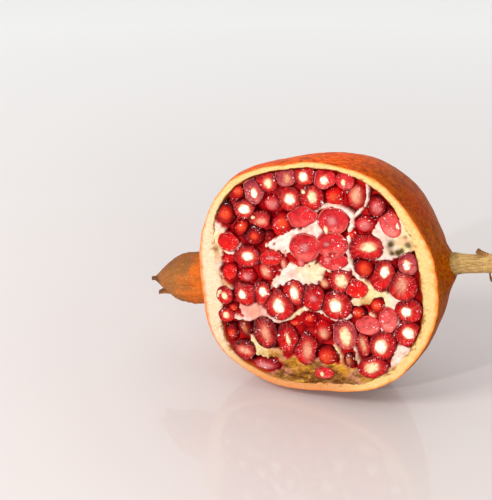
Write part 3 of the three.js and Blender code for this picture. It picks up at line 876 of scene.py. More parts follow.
def cad_flats(node):
    """The triangles of a CAD node in the fruit's frame: corners, unit normals and areas."""
    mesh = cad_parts[node].data
    index = np.empty(len(mesh.loops), np.int32)
    mesh.loops.foreach_get("vertex_index", index)
    corners = to_fruit(cad_corners(node))[index].reshape(-1, 3, 3)
    normals = np.cross(corners[:, 1] - corners[:, 0], corners[:, 2] - corners[:, 0])
    areas = np.linalg.norm(normals, axis=1) / 2
    good = areas > 1e-4
    return corners[good], normals[good] / areas[good, None] / 2, areas[good]


def pressed_radius(node, swell):
    """For a CAD aril: its middle, whether the knife cut it, and its radius as a function.
    The radius is the -1/s power of the sum of weight * (facing/distance)^s over the flats,
    whose distances are first stretched by the plumpness and by the aril's own swell."""
    corners, normals, areas = cad_flats(node)
    middle = (corners.reshape(-1, 3).min(0) + corners.reshape(-1, 3).max(0)) / 2
    on_cut = (normals[:, 2] > 0.999) & (corners[:, :, 2].min(1) > CUT - 0.02)
    is_cut = areas[on_cut].sum() > 3
    corners, normals, areas = (part[~on_cut] for part in (corners, normals, areas))
    distances = np.einsum("ij,ij->i", corners[:, 0] - middle, normals)
    distances = distances * np.where(np.abs(normals[:, 2]) < 0.02, PLUMP_WALL, PLUMP_EGG) * swell
    weights = np.minimum(areas / np.median(areas), 1)

    def radius(direction):
        facing = np.clip(direction @ normals.T, 0, None) / distances
        soft = (weights * facing**SOFTNESS).sum(-1) ** (-1 / SOFTNESS)
        return np.minimum(soft, 1.03 / np.maximum(facing.max(-1), 1e-6))

    return middle, is_cut, radius


def egg_radius(x, y, length, width, turn, top):
    """For a small aril: the same three, from the radius of an ellipsoid."""
    depth = (length + width) / 2
    is_cut = top == "cut"
    middle = np.array([x, y, CUT - 1.2 if is_cut else CUT + top - depth / 2])
    halves = np.array([length, width, depth]) / 2
    c, s = math.cos(math.radians(turn)), math.sin(math.radians(turn))
    axes = np.array([[c, s, 0], [-s, c, 0], [0, 0, 1]])

    def radius(direction):
        return 1 / np.linalg.norm(direction @ axes.T / halves, axis=-1)

    return middle, is_cut, radius


def aril_rings(middle, is_cut, radius, seed):
    """Rings from the front to the back. A cut aril has a flat front that dips a little towards
    its seed, and its rim is a ring of its own, so that it stays crisp."""
    def wobbly(direction):
        return radius(direction) * (1 + 0.018 * bumps(5 * direction, 5, seed))

    if not is_cut:
        lean = np.linspace(0, np.pi, CAP_RINGS + SIDE_RINGS + 2)[1:-1, None]
        direction = towards(aril_turns[None], lean)
        rings = middle + direction * wobbly(direction)[..., None]
        ends = [middle + d * wobbly(np.array([d]))[0] for d in np.array([[0, 0, 1.0], [0, 0, -1.0]])]
        return rings, np.array(ends)
    edge_lean = lean_at(wobbly, CUT_LEVEL - 0.14 - middle[2], aril_turns)
    lean = edge_lean + (np.pi - edge_lean) * np.linspace(0, 1, SIDE_RINGS + 1)[:-1, None]
    direction = towards(aril_turns[None], lean)
    sides = middle + direction * wobbly(direction)[..., None]
    centre = np.array([middle[0], middle[1], CUT_LEVEL])
    share = np.linspace(0, 1, CAP_RINGS + 1)[1:] * 0.975
    cap = blended(centre, sides[0][None], np.tile(share[:, None], ARIL_AROUND))
    relief = 0.1 * bumps(cap, 3.0, seed + 1) + 0.05 * bumps(cap, 1.2, seed + 2)
    cap[..., 2] = CUT_LEVEL + (relief - 0.08) * (1 - smooth(share, 0.8, 1))[:, None]
    cap[..., 2] = np.minimum(cap[..., 2], CUT_LEVEL + 0.1)
    back = middle - np.array([0, 0, wobbly(np.array([[0, 0, -1.0]]))[0]])
    return np.concatenate([cap, sides]), np.array([centre - np.array([0, 0, 0.08]), back])


print("rings on an aril:", CAP_RINGS + SIDE_RINGS)

# %% [markdown]
# ## The colours of juice
#
# Juice looks darker the more of it the light crosses. A real refracting liquid needs many light
# paths and still comes out noisy, so the light and shade that the depth of juice would give are
# painted: nearly black-red at the rim and between arils, crimson in the body, brighter low down as
# painted light from above that gathers after crossing the drop, and darker on the upper left as
# painted shade. Where a seed lies under the skin it shows as a painted glow, from ember red when
# deep to blush when near. A bared seed has a tan edge and a reddish halo, and a pale film follows
# parts of a cut aril's rim.

# %% Tones
# Each flesh tone holds a rim darkened as painted shade and a lower part brightened as painted light, round
# the body's crimson.
FLESH = {  # rim, body, and the brighter lower part
    "dark": (colour(62, 0, 8), colour(142, 0, 6), colour(208, 14, 10)),
    "red": (colour(132, 0, 14), colour(194, 3, 10), colour(230, 20, 14)),
    "bright": (colour(180, 3, 8), colour(222, 16, 14), colour(246, 44, 28)),
    "pink": (colour(186, 10, 22), colour(218, 40, 46), colour(244, 112, 102)),
    "grey": (colour(132, 12, 30), colour(178, 62, 72), colour(216, 124, 120)),
    "pale": (colour(212, 44, 46), colour(228, 84, 82), colour(244, 136, 124)),
}
# A bared seed's tones are its own; for a seed under the skin they are a painted glow through the flesh.
CORE = {  # middle, edge, and whether it is a bared seed
    "white": (colour(253, 247, 232), colour(236, 184, 142), True),
    "cream": (colour(250, 226, 182), colour(218, 142, 100), True),
    "orange": (colour(238, 178, 130), colour(196, 92, 70), False),
    "blush": (colour(244, 176, 140), colour(214, 78, 64), False),
    "pink": (colour(234, 132, 128), colour(204, 52, 56), False),
    "ember": (colour(246, 84, 42), colour(204, 22, 14), False),
    "mauve": (colour(224, 136, 134), colour(192, 48, 54), False),
    "brown": (colour(202, 112, 72), colour(122, 34, 26), False),
    "none": (colour(214, 60, 66), colour(200, 40, 50), False),
}
FILM = colour(244, 136, 124)
SEED_TAN = colour(232, 146, 112)
SEED_HALO = colour(218, 60, 52)


def seed_distance(x, y, core):
    """1 on the edge of the seed's oval: its turned place over its half width and half height."""
    _, seed_x, seed_y, width, tall, turn = core
    c, s = math.cos(math.radians(turn)), math.sin(math.radians(turn))
    dx, dy = x - seed_x, y - seed_y
    return np.hypot((dx * c + dy * s) / (width / 2), (dy * c - dx * s) / (tall / 2))


def aril_paint(points, middle, is_cut, flesh, core):
    """Dark rim to body to a lower part brightened as painted light, by the share of the way to the rim,
    with painted shade on the upper left and below the cut, then the seed's painted glow.
    """
    rim, body, low = FLESH[flesh]
    dx, dy = points[..., 0] - middle[0], points[..., 1] - middle[1]
    out = np.hypot(dx, dy)
    size = out.max()
    share = out / np.maximum(out.max(0, keepdims=True), 1e-6)
    below = CUT - points[..., 2]
    patchy = 0.2 * bumps(points, 3.5, 51)
    # Painted light and shade: brighter towards the lower side, where light from above gathers after
    # crossing the drop, and dark towards the rim.
    paint = blended(body, low, smooth(-dy / size + patchy, 0.0, 0.9))
    paint = blended(paint, rim, smooth(share + 0.4 * patchy, 0.7 if is_cut else 0.5, 0.98))
    # Painted shade: darker on the upper left side.
    paint = blended(paint, 0.6 * rim, 0.8 * smooth((dy - 0.4 * dx) / size + patchy, 0.3, 1.1))
    if is_cut:
        film = smooth(share, 0.88, 0.96) * (below < 0.1) * smooth(patchy, -0.2, 0.12)
        paint = blended(paint, FILM, (0.12 if flesh in ("red", "dark") else 0.8) * film)
    glow_middle, glow_edge, bared = CORE[core[0]]
    if core[0] != "none":
        q = seed_distance(points[..., 0], points[..., 1], core)
        q = q * (1 + 0.07 * bumps(points, 2.5, 52))
        if bared:
            paint = blended(paint, SEED_HALO, 0.8 * (1 - smooth(q, 0.95, 1.55)))
            paint = blended(paint, SEED_TAN, 0.75 * (1 - smooth(q, 0.8, 1.15)))
        else:
            # Painted glow: the hidden seed shows through the flesh, brightest in its middle.
            paint = blended(paint, glow_edge, 0.85 * (1 - smooth(q, 0.75, 1.45)))
            paint = blended(paint, glow_middle, 0.95 * (1 - smooth(q, 0.2, 1.05)))
    # Painted shade: the flesh turns to the dark rim tone deeper below the cut face, down between the arils.
    return blended(paint, rim, smooth(below, 1.0, 3.5))


print("flesh tones:", list(FLESH), "seed tones:", list(CORE))

# %% [markdown]
# Each aril's look is one line: the tone of its flesh, then its seed's tone, place, size and
# turn. A whole aril's seed only glows through. A cut one is bared, and gets a mesh of its own
# further down.

# %% The arils of the CAD model
LOOKS = [
    ("dark", ("ember", -22, 35.3, 3.6, 3.6, 0)), ("grey", ("white", -16, 34.2, 2.8, 4.2, 0)),
    ("red", ("cream", -10.2, 37.5, 3.5, 4, 0)), ("grey", ("orange", -3, 38.8, 3, 4, 0)),
    ("red", ("white", 3, 39, 3.7, 4, 0)), ("pink", ("white", 10.3, 37.3, 3.3, 3.5, 0)),
    ("red", ("blush", 21, 31.3, 4.5, 7, 0)), ("dark", ("pink", 27.7, 26.7, 4, 5, 0)),
    ("pale", ("none", 31.5, 20.5, 1, 1, 0)), ("dark", ("ember", -28, 27.3, 4.6, 4.6, 0)),
    ("red", ("white", -20.7, 28.5, 5, 4, 0)), ("red", ("pink", -10, 29.7, 5, 4.5, 0)),
    ("red", ("white", -3, 31.3, 4.5, 4.5, 0)), ("red", ("cream", 5.3, 31.7, 3.7, 5, 0)),
    ("bright", ("ember", 13, 31.3, 4, 4, 0)), ("dark", ("ember", -22.7, 22, 4, 4, 0)),
    ("red", ("blush", -15, 23.7, 5, 3, 0)), ("red", ("ember", -7, 22.7, 4.6, 5, 0)),
    ("dark", ("ember", -18, 18.5, 3, 3, 0)), ("pink", ("none", 0.5, 24.8, 1, 1, 0)),
    ("pink", ("mauve", 11.3, 22.7, 4.5, 4, 0)), ("red", ("pink", 22.8, 20.8, 5, 4, 0)),
    ("red", ("cream", 23.2, 12.8, 6.5, 4, 0)), ("bright", ("none", -29, 16.5, 1, 1, 0)),
    ("red", ("white", -22.2, 10.7, 5, 4, 0)), ("red", ("mauve", -23.5, 3, 4, 3.5, 0)),
    ("red", ("blush", -16, 4.7, 3.5, 5, 25)), ("dark", ("brown", -27.8, -17.7, 3, 5.5, 15)),
    ("dark", ("blush", -29.3, -27, 6.5, 3.7, -15)), ("pink", ("mauve", 0, 13.3, 4, 4, 0)),
    ("pink", ("mauve", 8.3, 14.3, 3, 2.3, 0)), ("dark", ("ember", 21, 5, 4.6, 5, 0)),
    ("red", ("white", 28, 3.7, 3.5, 5, -20)), ("grey", ("white", 35.8, 6, 3, 4.3, 0)),
    ("red", ("blush", 33.3, -1.5, 4.5, 7.5, -15)), ("red", ("white", -26.8, -4.3, 3.3, 4, 0)),
    ("red", ("white", -18.3, -3.2, 3.5, 4.2, 0)), ("red", ("white", -13, -8.7, 4.8, 6.5, 0)),
    ("red", ("white", -6.2, -3.7, 3.7, 6, 0)), ("red", ("mauve", 0.7, -6, 3.5, 3, 0)),
    ("red", ("cream", 12, 0.5, 5, 5.5, 0)), ("red", ("white", 8.7, -8.7, 5, 6, 0)),
    ("bright", ("none", 16.8, -2.3, 1, 1, 0)), ("red", ("white", 34, -11.3, 4, 4, 0)),
    ("pale", ("none", 27.3, -14.3, 1, 1, 0)), ("pale", ("none", 19.8, -16.5, 1, 1, 0)),
    ("red", ("white", 34, -19.3, 4.6, 5, 0)), ("red", ("white", 23.7, -24.5, 5, 6.5, -20)),
    ("grey", ("cream", 11, -21, 4.6, 8.5, 0)), ("red", ("blush", 3, -19.7, 4, 5, 0)),
    ("dark", ("ember", 3, -29, 5.5, 6, 0)), ("red", ("blush", -4.3, -26.7, 4, 8.5, -12)),
    ("red", ("cream", -11.2, -22, 1.8, 5.5, 8)), ("dark", ("blush", -19.7, -19.7, 4, 8, 8)),
    ("red", ("cream", 19.3, -33, 6.3, 4.5, 20)), ("dark", ("mauve", -22, -33, 9, 4, -8)),
]
SWELL = {20: 1.1, 30: 1.25, 31: 1.2}  # arils whose neighbours leave them more room
SMALL_ARILS = [  # place, length, width, turn and top of the egg, then its look
    ((17.5, 36.6, 7, 6, -30, "cut"), ("pink", ("cream", 17, 36.2, 1.8, 2.5, 0))),
    ((-13.3, 9.8, 9, 6, 0, "cut"), ("bright", ("mauve", -13.3, 9.8, 4, 1.8, 0))),
    ((-2.6, 7.8, 7.5, 6, 90, 0.2), ("red", ("pink", -2, 7.5, 2.5, 4, 0))),
    ((-30.5, 9.3, 7, 5, 0, -0.5), ("bright", ("none", 0, 0, 1, 1, 0))),
    ((-30.3, 4.8, 6.5, 5.5, 60, "cut"), ("bright", ("none", 0, 0, 1, 1, 0))),
    ((-8.8, 7.2, 8, 4.5, 100, 0), ("red", ("blush", -8.8, 7.2, 2.4, 5, 10))),
    ((-13.4, 17.3, 6.5, 5.5, 90, -0.5), ("dark", ("none", 0, 0, 1, 1, 0))),
    ((10, 8, 10.5, 7, 0, "cut"), ("pink", ("pink", 7.8, 8.3, 3, 3, 0))),
    ((5.8, -0.5, 7, 6.5, 0, 0), ("dark", ("orange", 5.5, -0.3, 2.8, 3.4, 0))),
    ((24, -8.8, 8.4, 7.4, 45, 0.9), ("dark", ("ember", 24, -8.6, 4, 3.8, 0))),
    ((16.6, -11.8, 6.6, 7, 0, 0.8), ("dark", ("ember", 16.8, -11.4, 3.4, 3.4, 0))),
    ((-2, -14.3, 6.5, 5.5, 0, -0.5), ("red", ("ember", -2, -14, 3, 2.6, 0))),
    ((1, -35.5, 8, 5, 0, "cut"), ("pink", ("cream", 0.3, -36, 1.7, 2.3, 0))),
    ((32.8, 24.3, 6, 3.5, -50, 0), ("dark", ("ember", 33.5, 23.5, 2.5, 1.5, -50))),
    ((17.7, 17.3, 4.5, 4.5, 0, 0), ("bright", ("ember", 17.7, 17.3, 2, 2, 0))),
    ((-8.3, -16.3, 7, 4, 0, -1), ("bright", ("ember", -8.3, -16.3, 4, 2, 0))),
    ((17.2, -24, 9.5, 5, 95, "cut"), ("red", ("orange", 17.2, -24, 2.5, 7, 5))),
    ((11.2, -31, 8.5, 5.5, 90, 0), ("dark", ("brown", 11, -30.6, 2.6, 5, 0))),
    ((-34.6, -12.5, 7, 6, 0, "cut"), ("red", ("cream", -34.6, -12.5, 3, 3, 0))),
    ((-33.6, -19.5, 7, 8.5, 0, 0.3), ("dark", ("ember", -33.4, -19.7, 3, 3.6, 0))),
    ((-31.6, -9.6, 6.5, 5, 20, -0.3), ("dark", ("ember", -31.4, -9.9, 2.6, 2.6, 0))),
    ((-34, -4.4, 7, 7.5, 0, "cut"), ("red", ("cream", -34, -4.6, 2.6, 3.4, 10))),
]
print("looks:", len(LOOKS), "small arils:", len(SMALL_ARILS))

# %% [markdown]
# Juice under a thin skin gives two reflections: a sharp one from the wet skin, which is the
# coat, and a softer one from the flesh. Light also goes in and comes out again nearby, which is
# the subsurface part. Fine bumps break the highlights into the small glints of a wet surface, and
# more glints are painted: near-white specks in clusters where noise is high, a painted highlight in
# the base colour. A cut aril with a seed also shows pale and dark rays that run out from it, as
# noise on coordinates that turn with the direction.

# %% Juice material
juice = Shader(
    "aril_juice", Roughness=0.2, Specular_IOR_Level=0.06, Coat_Weight=0.16, Coat_Roughness=0.04,
    Subsurface_Weight=0.2, Subsurface_Radius=(1.0, 0.1, 0.08), Subsurface_Scale=0.002,
)
places = juice.stored("fruit_mm").outputs["Vector"]
cloud = juice.noise(places, 0.5, 3, 0.5)
threads = juice.noise(places, 2.4, 3, 0.6)
juice_base = juice.mix(
    juice.between(cloud, 0.4, 0.7, 0, 0.5),
    juice.stored("paint").outputs["Color"],
    juice.mix(1.0, juice.stored("paint").outputs["Color"], colour(180, 150, 160), "MULTIPLY"),
)
juice_base = juice.mix(juice.between(threads, 0.6, 0.78, 0, 0.22), juice_base, colour(236, 110, 104))
rays = juice.noise(juice.stored("rays").outputs["Vector"], 2.6, 2, 0.5)
juice_base = juice.mix(juice.between(rays, 0.54, 0.66, 0, 0.3), juice_base, colour(244, 104, 96))
juice_base = juice.mix(juice.between(rays, 0.34, 0.46, 0.4, 0), juice_base, colour(112, 0, 10))
# Painted highlight: near-white specks in clusters stand for glints on the wet skin.
glint_clusters = juice.between(juice.noise(places, 0.33, 2, 0.5), 0.5, 0.58)
fine_glint_specks = juice.between(juice.noise(places, 1.9, 1, 0.5), 0.675, 0.7)
large_glint_specks = juice.between(juice.noise(places, 0.85, 2, 0.6), 0.665, 0.68)
glint_specks = juice.add("ShaderNodeMath", {0: fine_glint_specks, 1: large_glint_specks}, operation="MAXIMUM").outputs[0]
painted_glints = juice.add("ShaderNodeMath", {0: glint_clusters, 1: glint_specks}, operation="MULTIPLY").outputs[0]
juice_base = juice.mix(painted_glints, juice_base, colour(255, 240, 240))
juice.feed(juice.surface.inputs["Base Color"], juice_base)
wet = juice.noise(places, 1.0, 2, 0.5)
juice_normal = juice.bump(wet, 0.6, 0.001)
juice.bump(threads, 0.18, 0.0003, juice_normal)
print("nodes in the juice material:", len(juice.tree.nodes))

# %% Make the arils
def make_aril(name, shape, look, seed):
    """One aril: its rings, its paint and its place on the fruit."""
    middle, is_cut, radius = shape
    flesh, core = look
    rings, ends = aril_rings(middle, is_cut, radius, seed)
    points = np.concatenate([rings, np.broadcast_to(ends[:, None], (2, ARIL_AROUND, 3))])
    paint = aril_paint(points, middle, is_cut, flesh, core)
    paint = np.vstack([paint[:-2].reshape(-1, 3), paint[-2, :1], paint[-1, :1]])
    out = np.vstack([rings.reshape(-1, 3), ends]) - middle
    angle = np.arctan2(out[:, 1], out[:, 0])
    rays = np.stack([3 * np.cos(angle), 3 * np.sin(angle), 0.1 * out[:, 2] + seed], -1)
    rays = rays * (is_cut and core[0] != "none" and flesh != "pink")
    piece = closed_mesh(name, rings, ends, {"paint": paint, "rays": rays})
    piece.data.materials.append(juice.material)
    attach(piece, "root")
    return piece


bared = []  # every seed that the knife laid open
for number, look in enumerate(LOOKS, start=1):
    node = f"aril_{number:02d}"
    shape = pressed_radius(node, SWELL.get(number, 1))
    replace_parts(make_aril(f"{node}_grown", shape, look, 100 + 3 * number), node)
    if CORE[look[1][0]][2]:
        bared.append((number, look[1]))
for number, (egg, look) in enumerate(SMALL_ARILS, start=len(LOOKS) + 1):
    make_aril(f"aril_{number:02d}_small", egg_radius(*egg), look, 100 + 3 * number)
    if CORE[look[1][0]][2]:
        bared.append((number, look[1]))
print(len(LOOKS), "arils stand for CAD nodes,", len(SMALL_ARILS), "small ones fill in")

# %% [markdown]
# ## Seeds
#
# The seeds are hard, angular and pointed at one end, cream-white where the knife opened them.
# Each is a shallow pebble let into the cut face: its outline is an oval with a random angular
# wave and a taper, and its top is slightly domed.

# %% Seeds
SEED_AROUND = 40
SEED_SHRINK = 0.92  # the bare seed is a little smaller than its painted surround
TAPER = {5: 0.0, 38: 0.45, 39: 0.35, 42: 0.3, 49: -0.35, 53: 0.3, 33: 0.2, 48: 0.2}
FRAGMENTS = [  # chips of seed left beside a cut aril's own
    ("cream", 2.3, 33.7, 1.8, 1.8, 0), ("cream", -17.8, 25.3, 2, 1.5, 0),
    ("cream", 8.7, 19.7, 1.6, 3.7, 5),
]
seed_turns = np.arange(SEED_AROUND) * 2 * np.pi / SEED_AROUND
SEED_PROFILE = [  # share of the outline, and height over the cut face
    (0.25, 0.13), (0.5, 0.12), (0.72, 0.11), (0.88, 0.08), (0.96, 0.03), (1.0, -0.12),
    (0.98, -0.6), (0.8, -1.4), (0.45, -2.0),
]


def make_seed(name, core, number):
    """Outline: oval of the seed's size, times 1 + an angular wave, narrowed by the taper."""
    tone, x, y, width, tall, turn = core
    width = SEED_SHRINK * width
    tall = SEED_SHRINK * tall
    rng = np.random.default_rng(700 + number)
    wave = 0.05 * np.cos(5 * seed_turns + rng.uniform(0, 6))
    wave = wave + 0.04 * np.cos(3 * seed_turns + rng.uniform(0, 6))
    across = width / 2 * np.cos(seed_turns) * (1 + wave)
    up = tall / 2 * np.sin(seed_turns) * (1 + wave)
    across = across * (1 - TAPER.get(number, 0.0) * up / tall * 2 * 0.8)
    c, s = math.cos(math.radians(turn)), math.sin(math.radians(turn))
    flat = np.stack([across * c - up * s, across * s + up * c], -1)
    rings = []
    for share, height_here in SEED_PROFILE:
        ring = np.column_stack([x + share * flat[:, 0], y + share * flat[:, 1],
                                np.full(SEED_AROUND, CUT_LEVEL + height_here)])
        rings.append(ring)
    rings = np.array(rings)
    rings[:5, :, 2] += 0.04 * bumps(rings[:5], 1.3, 800 + number)
    ends = np.array([[x, y, CUT_LEVEL + 0.17], [x, y, CUT_LEVEL - 2.2]])
    middle_tone, edge_tone, _ = CORE[tone]
    shares = np.array([share for share, _ in SEED_PROFILE])
    patchy = 0.25 * bumps(rings, 1.6, 850 + number)
    paint = blended(middle_tone, edge_tone, smooth(shares[:, None] + patchy, 0.5, 1.0))
    paint = blended(paint, SEED_TAN, smooth(shares, 0.86, 1.0)[:, None] * np.ones(SEED_AROUND))
    paint = np.vstack([paint.reshape(-1, 3), middle_tone, edge_tone])
    piece = closed_mesh(name, rings, ends, {"paint": paint})
    piece.data.materials.append(kernel.material)
    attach(piece, "root")
    return piece


kernel = Shader(
    "seed_kernel", Roughness=0.4, IOR=1.45, Subsurface_Weight=0.2,
    Subsurface_Radius=(0.6, 0.35, 0.2), Subsurface_Scale=0.001, Coat_Weight=0.2, Coat_Roughness=0.1,
)
places = kernel.stored("fruit_mm").outputs["Vector"]
fibre = kernel.noise(places, 3.0, 3, 0.6)
kernel_base = kernel.mix(
    kernel.between(fibre, 0.5, 0.75, 0, 0.35), kernel.stored("paint").outputs["Color"],
    colour(226, 180, 130),
)
kernel.feed(kernel.surface.inputs["Base Color"], kernel_base)
kernel.bump(fibre, 0.25, 0.0002)

for number, core in bared:
    make_seed(f"seed_{number:02d}", core, number)
for number, core in enumerate(FRAGMENTS, start=1):
    make_seed(f"seed_chip_{number}", core, 90 + number)
print(len(bared), "bared seeds")

# %% [markdown]
# ## The calyx
#
# The flower's leathery sepals stay on the fruit and dry into a crown. Here they have closed
# into a beak, with the lowest one standing apart. It is a tube of rings round the axis: grooves
# run between the six sepals, the rim ends at a different place in every direction, and the
# tube is open inside.

# %% Calyx shape
CALYX_TIP_X = -69.6
CALYX_BASE_X = -42.0
CALYX_FLOOR_X = -50.5
CALYX_Y = -1.4
CALYX_RADIUS = 10.2
LOBE_MIDDLE, LOBE_HALF, LOBE_TIP_X, LOBE_RADIUS = 180, 34, -67.5, 7.0
NOTCH_X = -56.0
CALYX_AROUND = 180
CALYX_ALONG = 46
calyx_degrees = np.arange(CALYX_AROUND) * 360 / CALYX_AROUND


def lower_lobe(degrees):
    """1 on the sepal that stands apart and 0 on the rest."""
    off = np.abs(degrees - LOBE_MIDDLE)
    return 1 - smooth(off, LOBE_HALF * 0.6, LOBE_HALF)


def calyx_rim(degrees):
    """Where the wall ends: the beak's tip or the lobe's, cut back to the notch between them."""
    notch = bell(np.radians(np.abs(degrees - LOBE_MIDDLE) - LOBE_HALF), 9)
    full = CALYX_TIP_X + (LOBE_TIP_X - CALYX_TIP_X) * lower_lobe(degrees)
    return full + (NOTCH_X - full) * notch


def calyx_radius(x, degrees):
    """A pointed arch up to the beak, or a straight lobe, with grooves between sepals."""
    to_tip = np.clip((x - CALYX_TIP_X) / 18, 0, 1)
    beak = np.maximum(0.9, CALYX_RADIUS * np.sin(to_tip * np.pi / 2) ** 1.2)
    lobe = lower_lobe(degrees) * (1 - to_tip)
    radius = beak * (1 - lobe) + LOBE_RADIUS * lobe
    groove = np.abs(np.sin(np.radians(3 * (degrees - 30)))) ** 0.5
    return radius * (0.93 + 0.07 * groove)


def calyx_ring(share, from_x, inwards):
    """One ring: x goes from from_x to the rim by the share, at the radius less the wall."""
    x = from_x + (calyx_rim(calyx_degrees) - from_x) * share
    angle = np.radians(calyx_degrees)
    radius = calyx_radius(x, calyx_degrees)
    places = np.stack([x, 8 * np.cos(angle), 8 * np.sin(angle)], -1)
    long_places = places * np.array([0.3, 1, 1])
    wrinkles = 0.22 * bumps(long_places, 2.2, 61) + 0.12 * bumps(places, 1.3, 62)
    fade = np.minimum(1, radius / 6)
    radius = radius + wrinkles * fade - inwards * np.minimum(1.3, 0.45 * radius)
    return np.stack([x, CALYX_Y + radius * np.cos(angle), radius * np.sin(angle)], -1)


outside = [calyx_ring(s, CALYX_BASE_X, 0) for s in np.linspace(0, 1, CALYX_ALONG)]
inside = [calyx_ring(s, CALYX_FLOOR_X, 1) for s in np.linspace(0.985, 0, CALYX_ALONG // 2)]
calyx_rings = np.array(outside + inside)
calyx_ends = np.array([[CALYX_BASE_X, CALYX_Y, 0], [CALYX_FLOOR_X, CALYX_Y, 0]])
print("calyx rings and points in each:", calyx_rings.shape[:2])

# %% Calyx colours and material
CALYX_ORANGE = colour(214, 102, 8)
CALYX_TAN = colour(164, 98, 40)
CALYX_DARK = colour(84, 46, 20)
calyx_all = np.vstack([calyx_rings.reshape(-1, 3), calyx_ends])
calyx_x = calyx_all[:, 0] + 2.2 * bumps(calyx_all, 7, 63)
calyx_paint = blended(CALYX_ORANGE, CALYX_TAN, 1 - smooth(calyx_x - 0.3 * calyx_all[:, 1], -55, -46))
calyx_paint = blended(calyx_paint, CALYX_DARK, 0.5 * smooth(calyx_all[:, 1] - 0.3 * calyx_x, 18, 25))
calyx_paint = blended(calyx_paint, CALYX_DARK, 0.85 * (1 - smooth(calyx_x, -69, -64)))
calyx_is_inside = np.arange(len(calyx_all)) >= CALYX_ALONG * CALYX_AROUND
calyx_paint = blended(calyx_paint, CALYX_DARK, 0.7 * calyx_is_inside)
calyx = closed_mesh(
    "calyx_grown", calyx_rings, calyx_ends,
    {"paint": calyx_paint, "streaks": lengthways(calyx_all)},
)
dry = Shader("calyx_dry", Roughness=0.7, IOR=1.4)
places = dry.stored("fruit_mm").outputs["Vector"]
dry_lines = dry.noise(dry.stored("streaks").outputs["Vector"], 1.2, 4, 0.6)
dry_specks = dry.noise(places, 1.1, 5, 0.7)
dry_base = dry.mix(
    dry.between(dry_lines, 0.45, 0.7, 0, 0.5), dry.stored("paint").outputs["Color"], colour(122, 74, 32)
)
dry_base = dry.mix(dry.between(dry_specks, 0.52, 0.7, 0, 0.6), dry_base, colour(104, 62, 28))
dry_base = dry.mix(dry.between(dry_specks, 0.28, 0.42, 0.5, 0), dry_base, colour(222, 176, 112))
dry.feed(dry.surface.inputs["Base Color"], dry_base)
dry_normal = dry.bump(dry_lines, 0.5, 0.0006)
dry.bump(dry_specks, 0.5, 0.0005, dry_normal)
calyx.data.materials.append(dry.material)
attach(calyx, "root")
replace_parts(calyx, "calyx")
print("calyx:", len(calyx.data.polygons), "faces")

# %% [markdown]
# ## The stem
#
# The stalk is wood: tan, with fibres along it, a collar where it grows out of the neck, and the
# stub of a broken twig. A lathe profile gives its thickness, and waves that are stretched along
# the axis give the fibres.

# %% Stem shape
STALK = np.array([
    (42, 4.4), (48, 4.3), (50, 4.1), (53, 3.6), (60, 3.35), (66, 3.55), (70, 3.45), (71.6, 3.3),
])
STEM_AROUND = 90
STEM_ALONG = 80
stem_x = np.linspace(STALK[0, 0], STALK[-1, 0], STEM_ALONG)
stem_angle = np.arange(STEM_AROUND) * 2 * np.pi / STEM_AROUND
grid_x, grid_angle = np.meshgrid(stem_x, stem_angle, indexing="ij")
stem_places = np.stack([0.16 * grid_x, 3.5 * np.cos(grid_angle), 3.5 * np.sin(grid_angle)], -1)
stem_fibres = 0.16 * bumps(stem_places, 2.0, 71) + 0.09 * bumps(stem_places, 0.9, 72)
stem_radius = np.interp(grid_x, STALK[:, 0], STALK[:, 1]) + stem_fibres - 0.12
stem_rings = np.stack([
    grid_x, STEM_Y + stem_radius * np.cos(grid_angle), stem_radius * np.sin(grid_angle),
], -1)
end_ring = stem_rings[-1] * [1, 0.55, 0.55] + [0.25, 0.45 * STEM_Y, 0]
stem_rings = np.concatenate([stem_rings, end_ring[None]])
stem_ends = np.array([[STALK[0, 0], STEM_Y, 0], [STEM_END_X - 0.1, STEM_Y, 0]])
print("stem rings and points in each:", stem_rings.shape[:2])

# %% Stub of the broken twig
STUB_FOOT = np.array([62.6, STEM_Y + 1.8, 0])
STUB_LEAN = math.radians(58)
STUB_LENGTH = 5.7
STUB_AROUND = 24
stub_along = np.array([-math.sin(STUB_LEAN), math.cos(STUB_LEAN), 0])
stub_across = np.array([math.cos(STUB_LEAN), math.sin(STUB_LEAN), 0])
stub_turns = np.arange(STUB_AROUND) * 2 * np.pi / STUB_AROUND
stub_rings = []
for share, stub_radius in ((0, 1.15), (0.3, 1.05), (0.55, 0.95), (0.75, 1.0), (0.92, 1.1), (1, 0.9)):
    around_stub = np.cos(stub_turns)[:, None] * stub_across + np.sin(stub_turns)[:, None] * [0, 0, 1]
    ring = STUB_FOOT + share * STUB_LENGTH * stub_along + stub_radius * 0.9 * around_stub
    stub_rings.append(ring + 0.08 * bumps(ring, 1.5, 73)[:, None] * around_stub)
stub_rings = np.array(stub_rings)
stub_ends = np.array([STUB_FOOT, STUB_FOOT + (STUB_LENGTH - 0.3) * stub_along])
print("stub rings and points in each:", stub_rings.shape[:2])

# %% Stem colours and material
STEM_TAN = colour(206, 168, 104)
STEM_OLIVE = colour(122, 96, 40)
stem_all = np.vstack([stem_rings.reshape(-1, 3), stem_ends])
stem_paint = blended(STEM_OLIVE, STEM_TAN, smooth(stem_all[:, 0] + bumps(stem_all, 3, 74), 48.5, 53))
stem = closed_mesh("stem_grown", stem_rings, stem_ends, {"paint": stem_paint})
stub_all = np.vstack([stub_rings.reshape(-1, 3), stub_ends])
stub_paint = blended(colour(168, 118, 64), colour(110, 64, 30), smooth(stub_all[:, 1], 5, 7.2))
stub = closed_mesh("stem_stub", stub_rings, stub_ends, {"paint": stub_paint})
bark = Shader("stem_bark", Roughness=0.75, IOR=1.4)
places = bark.stored("fruit_mm").outputs["Vector"]
strands = bark.noise(places, 2.4, 4, 0.6, (0.14, 1, 1))
flecks = bark.noise(places, 1.4, 3, 0.6, (0.6, 1, 1))
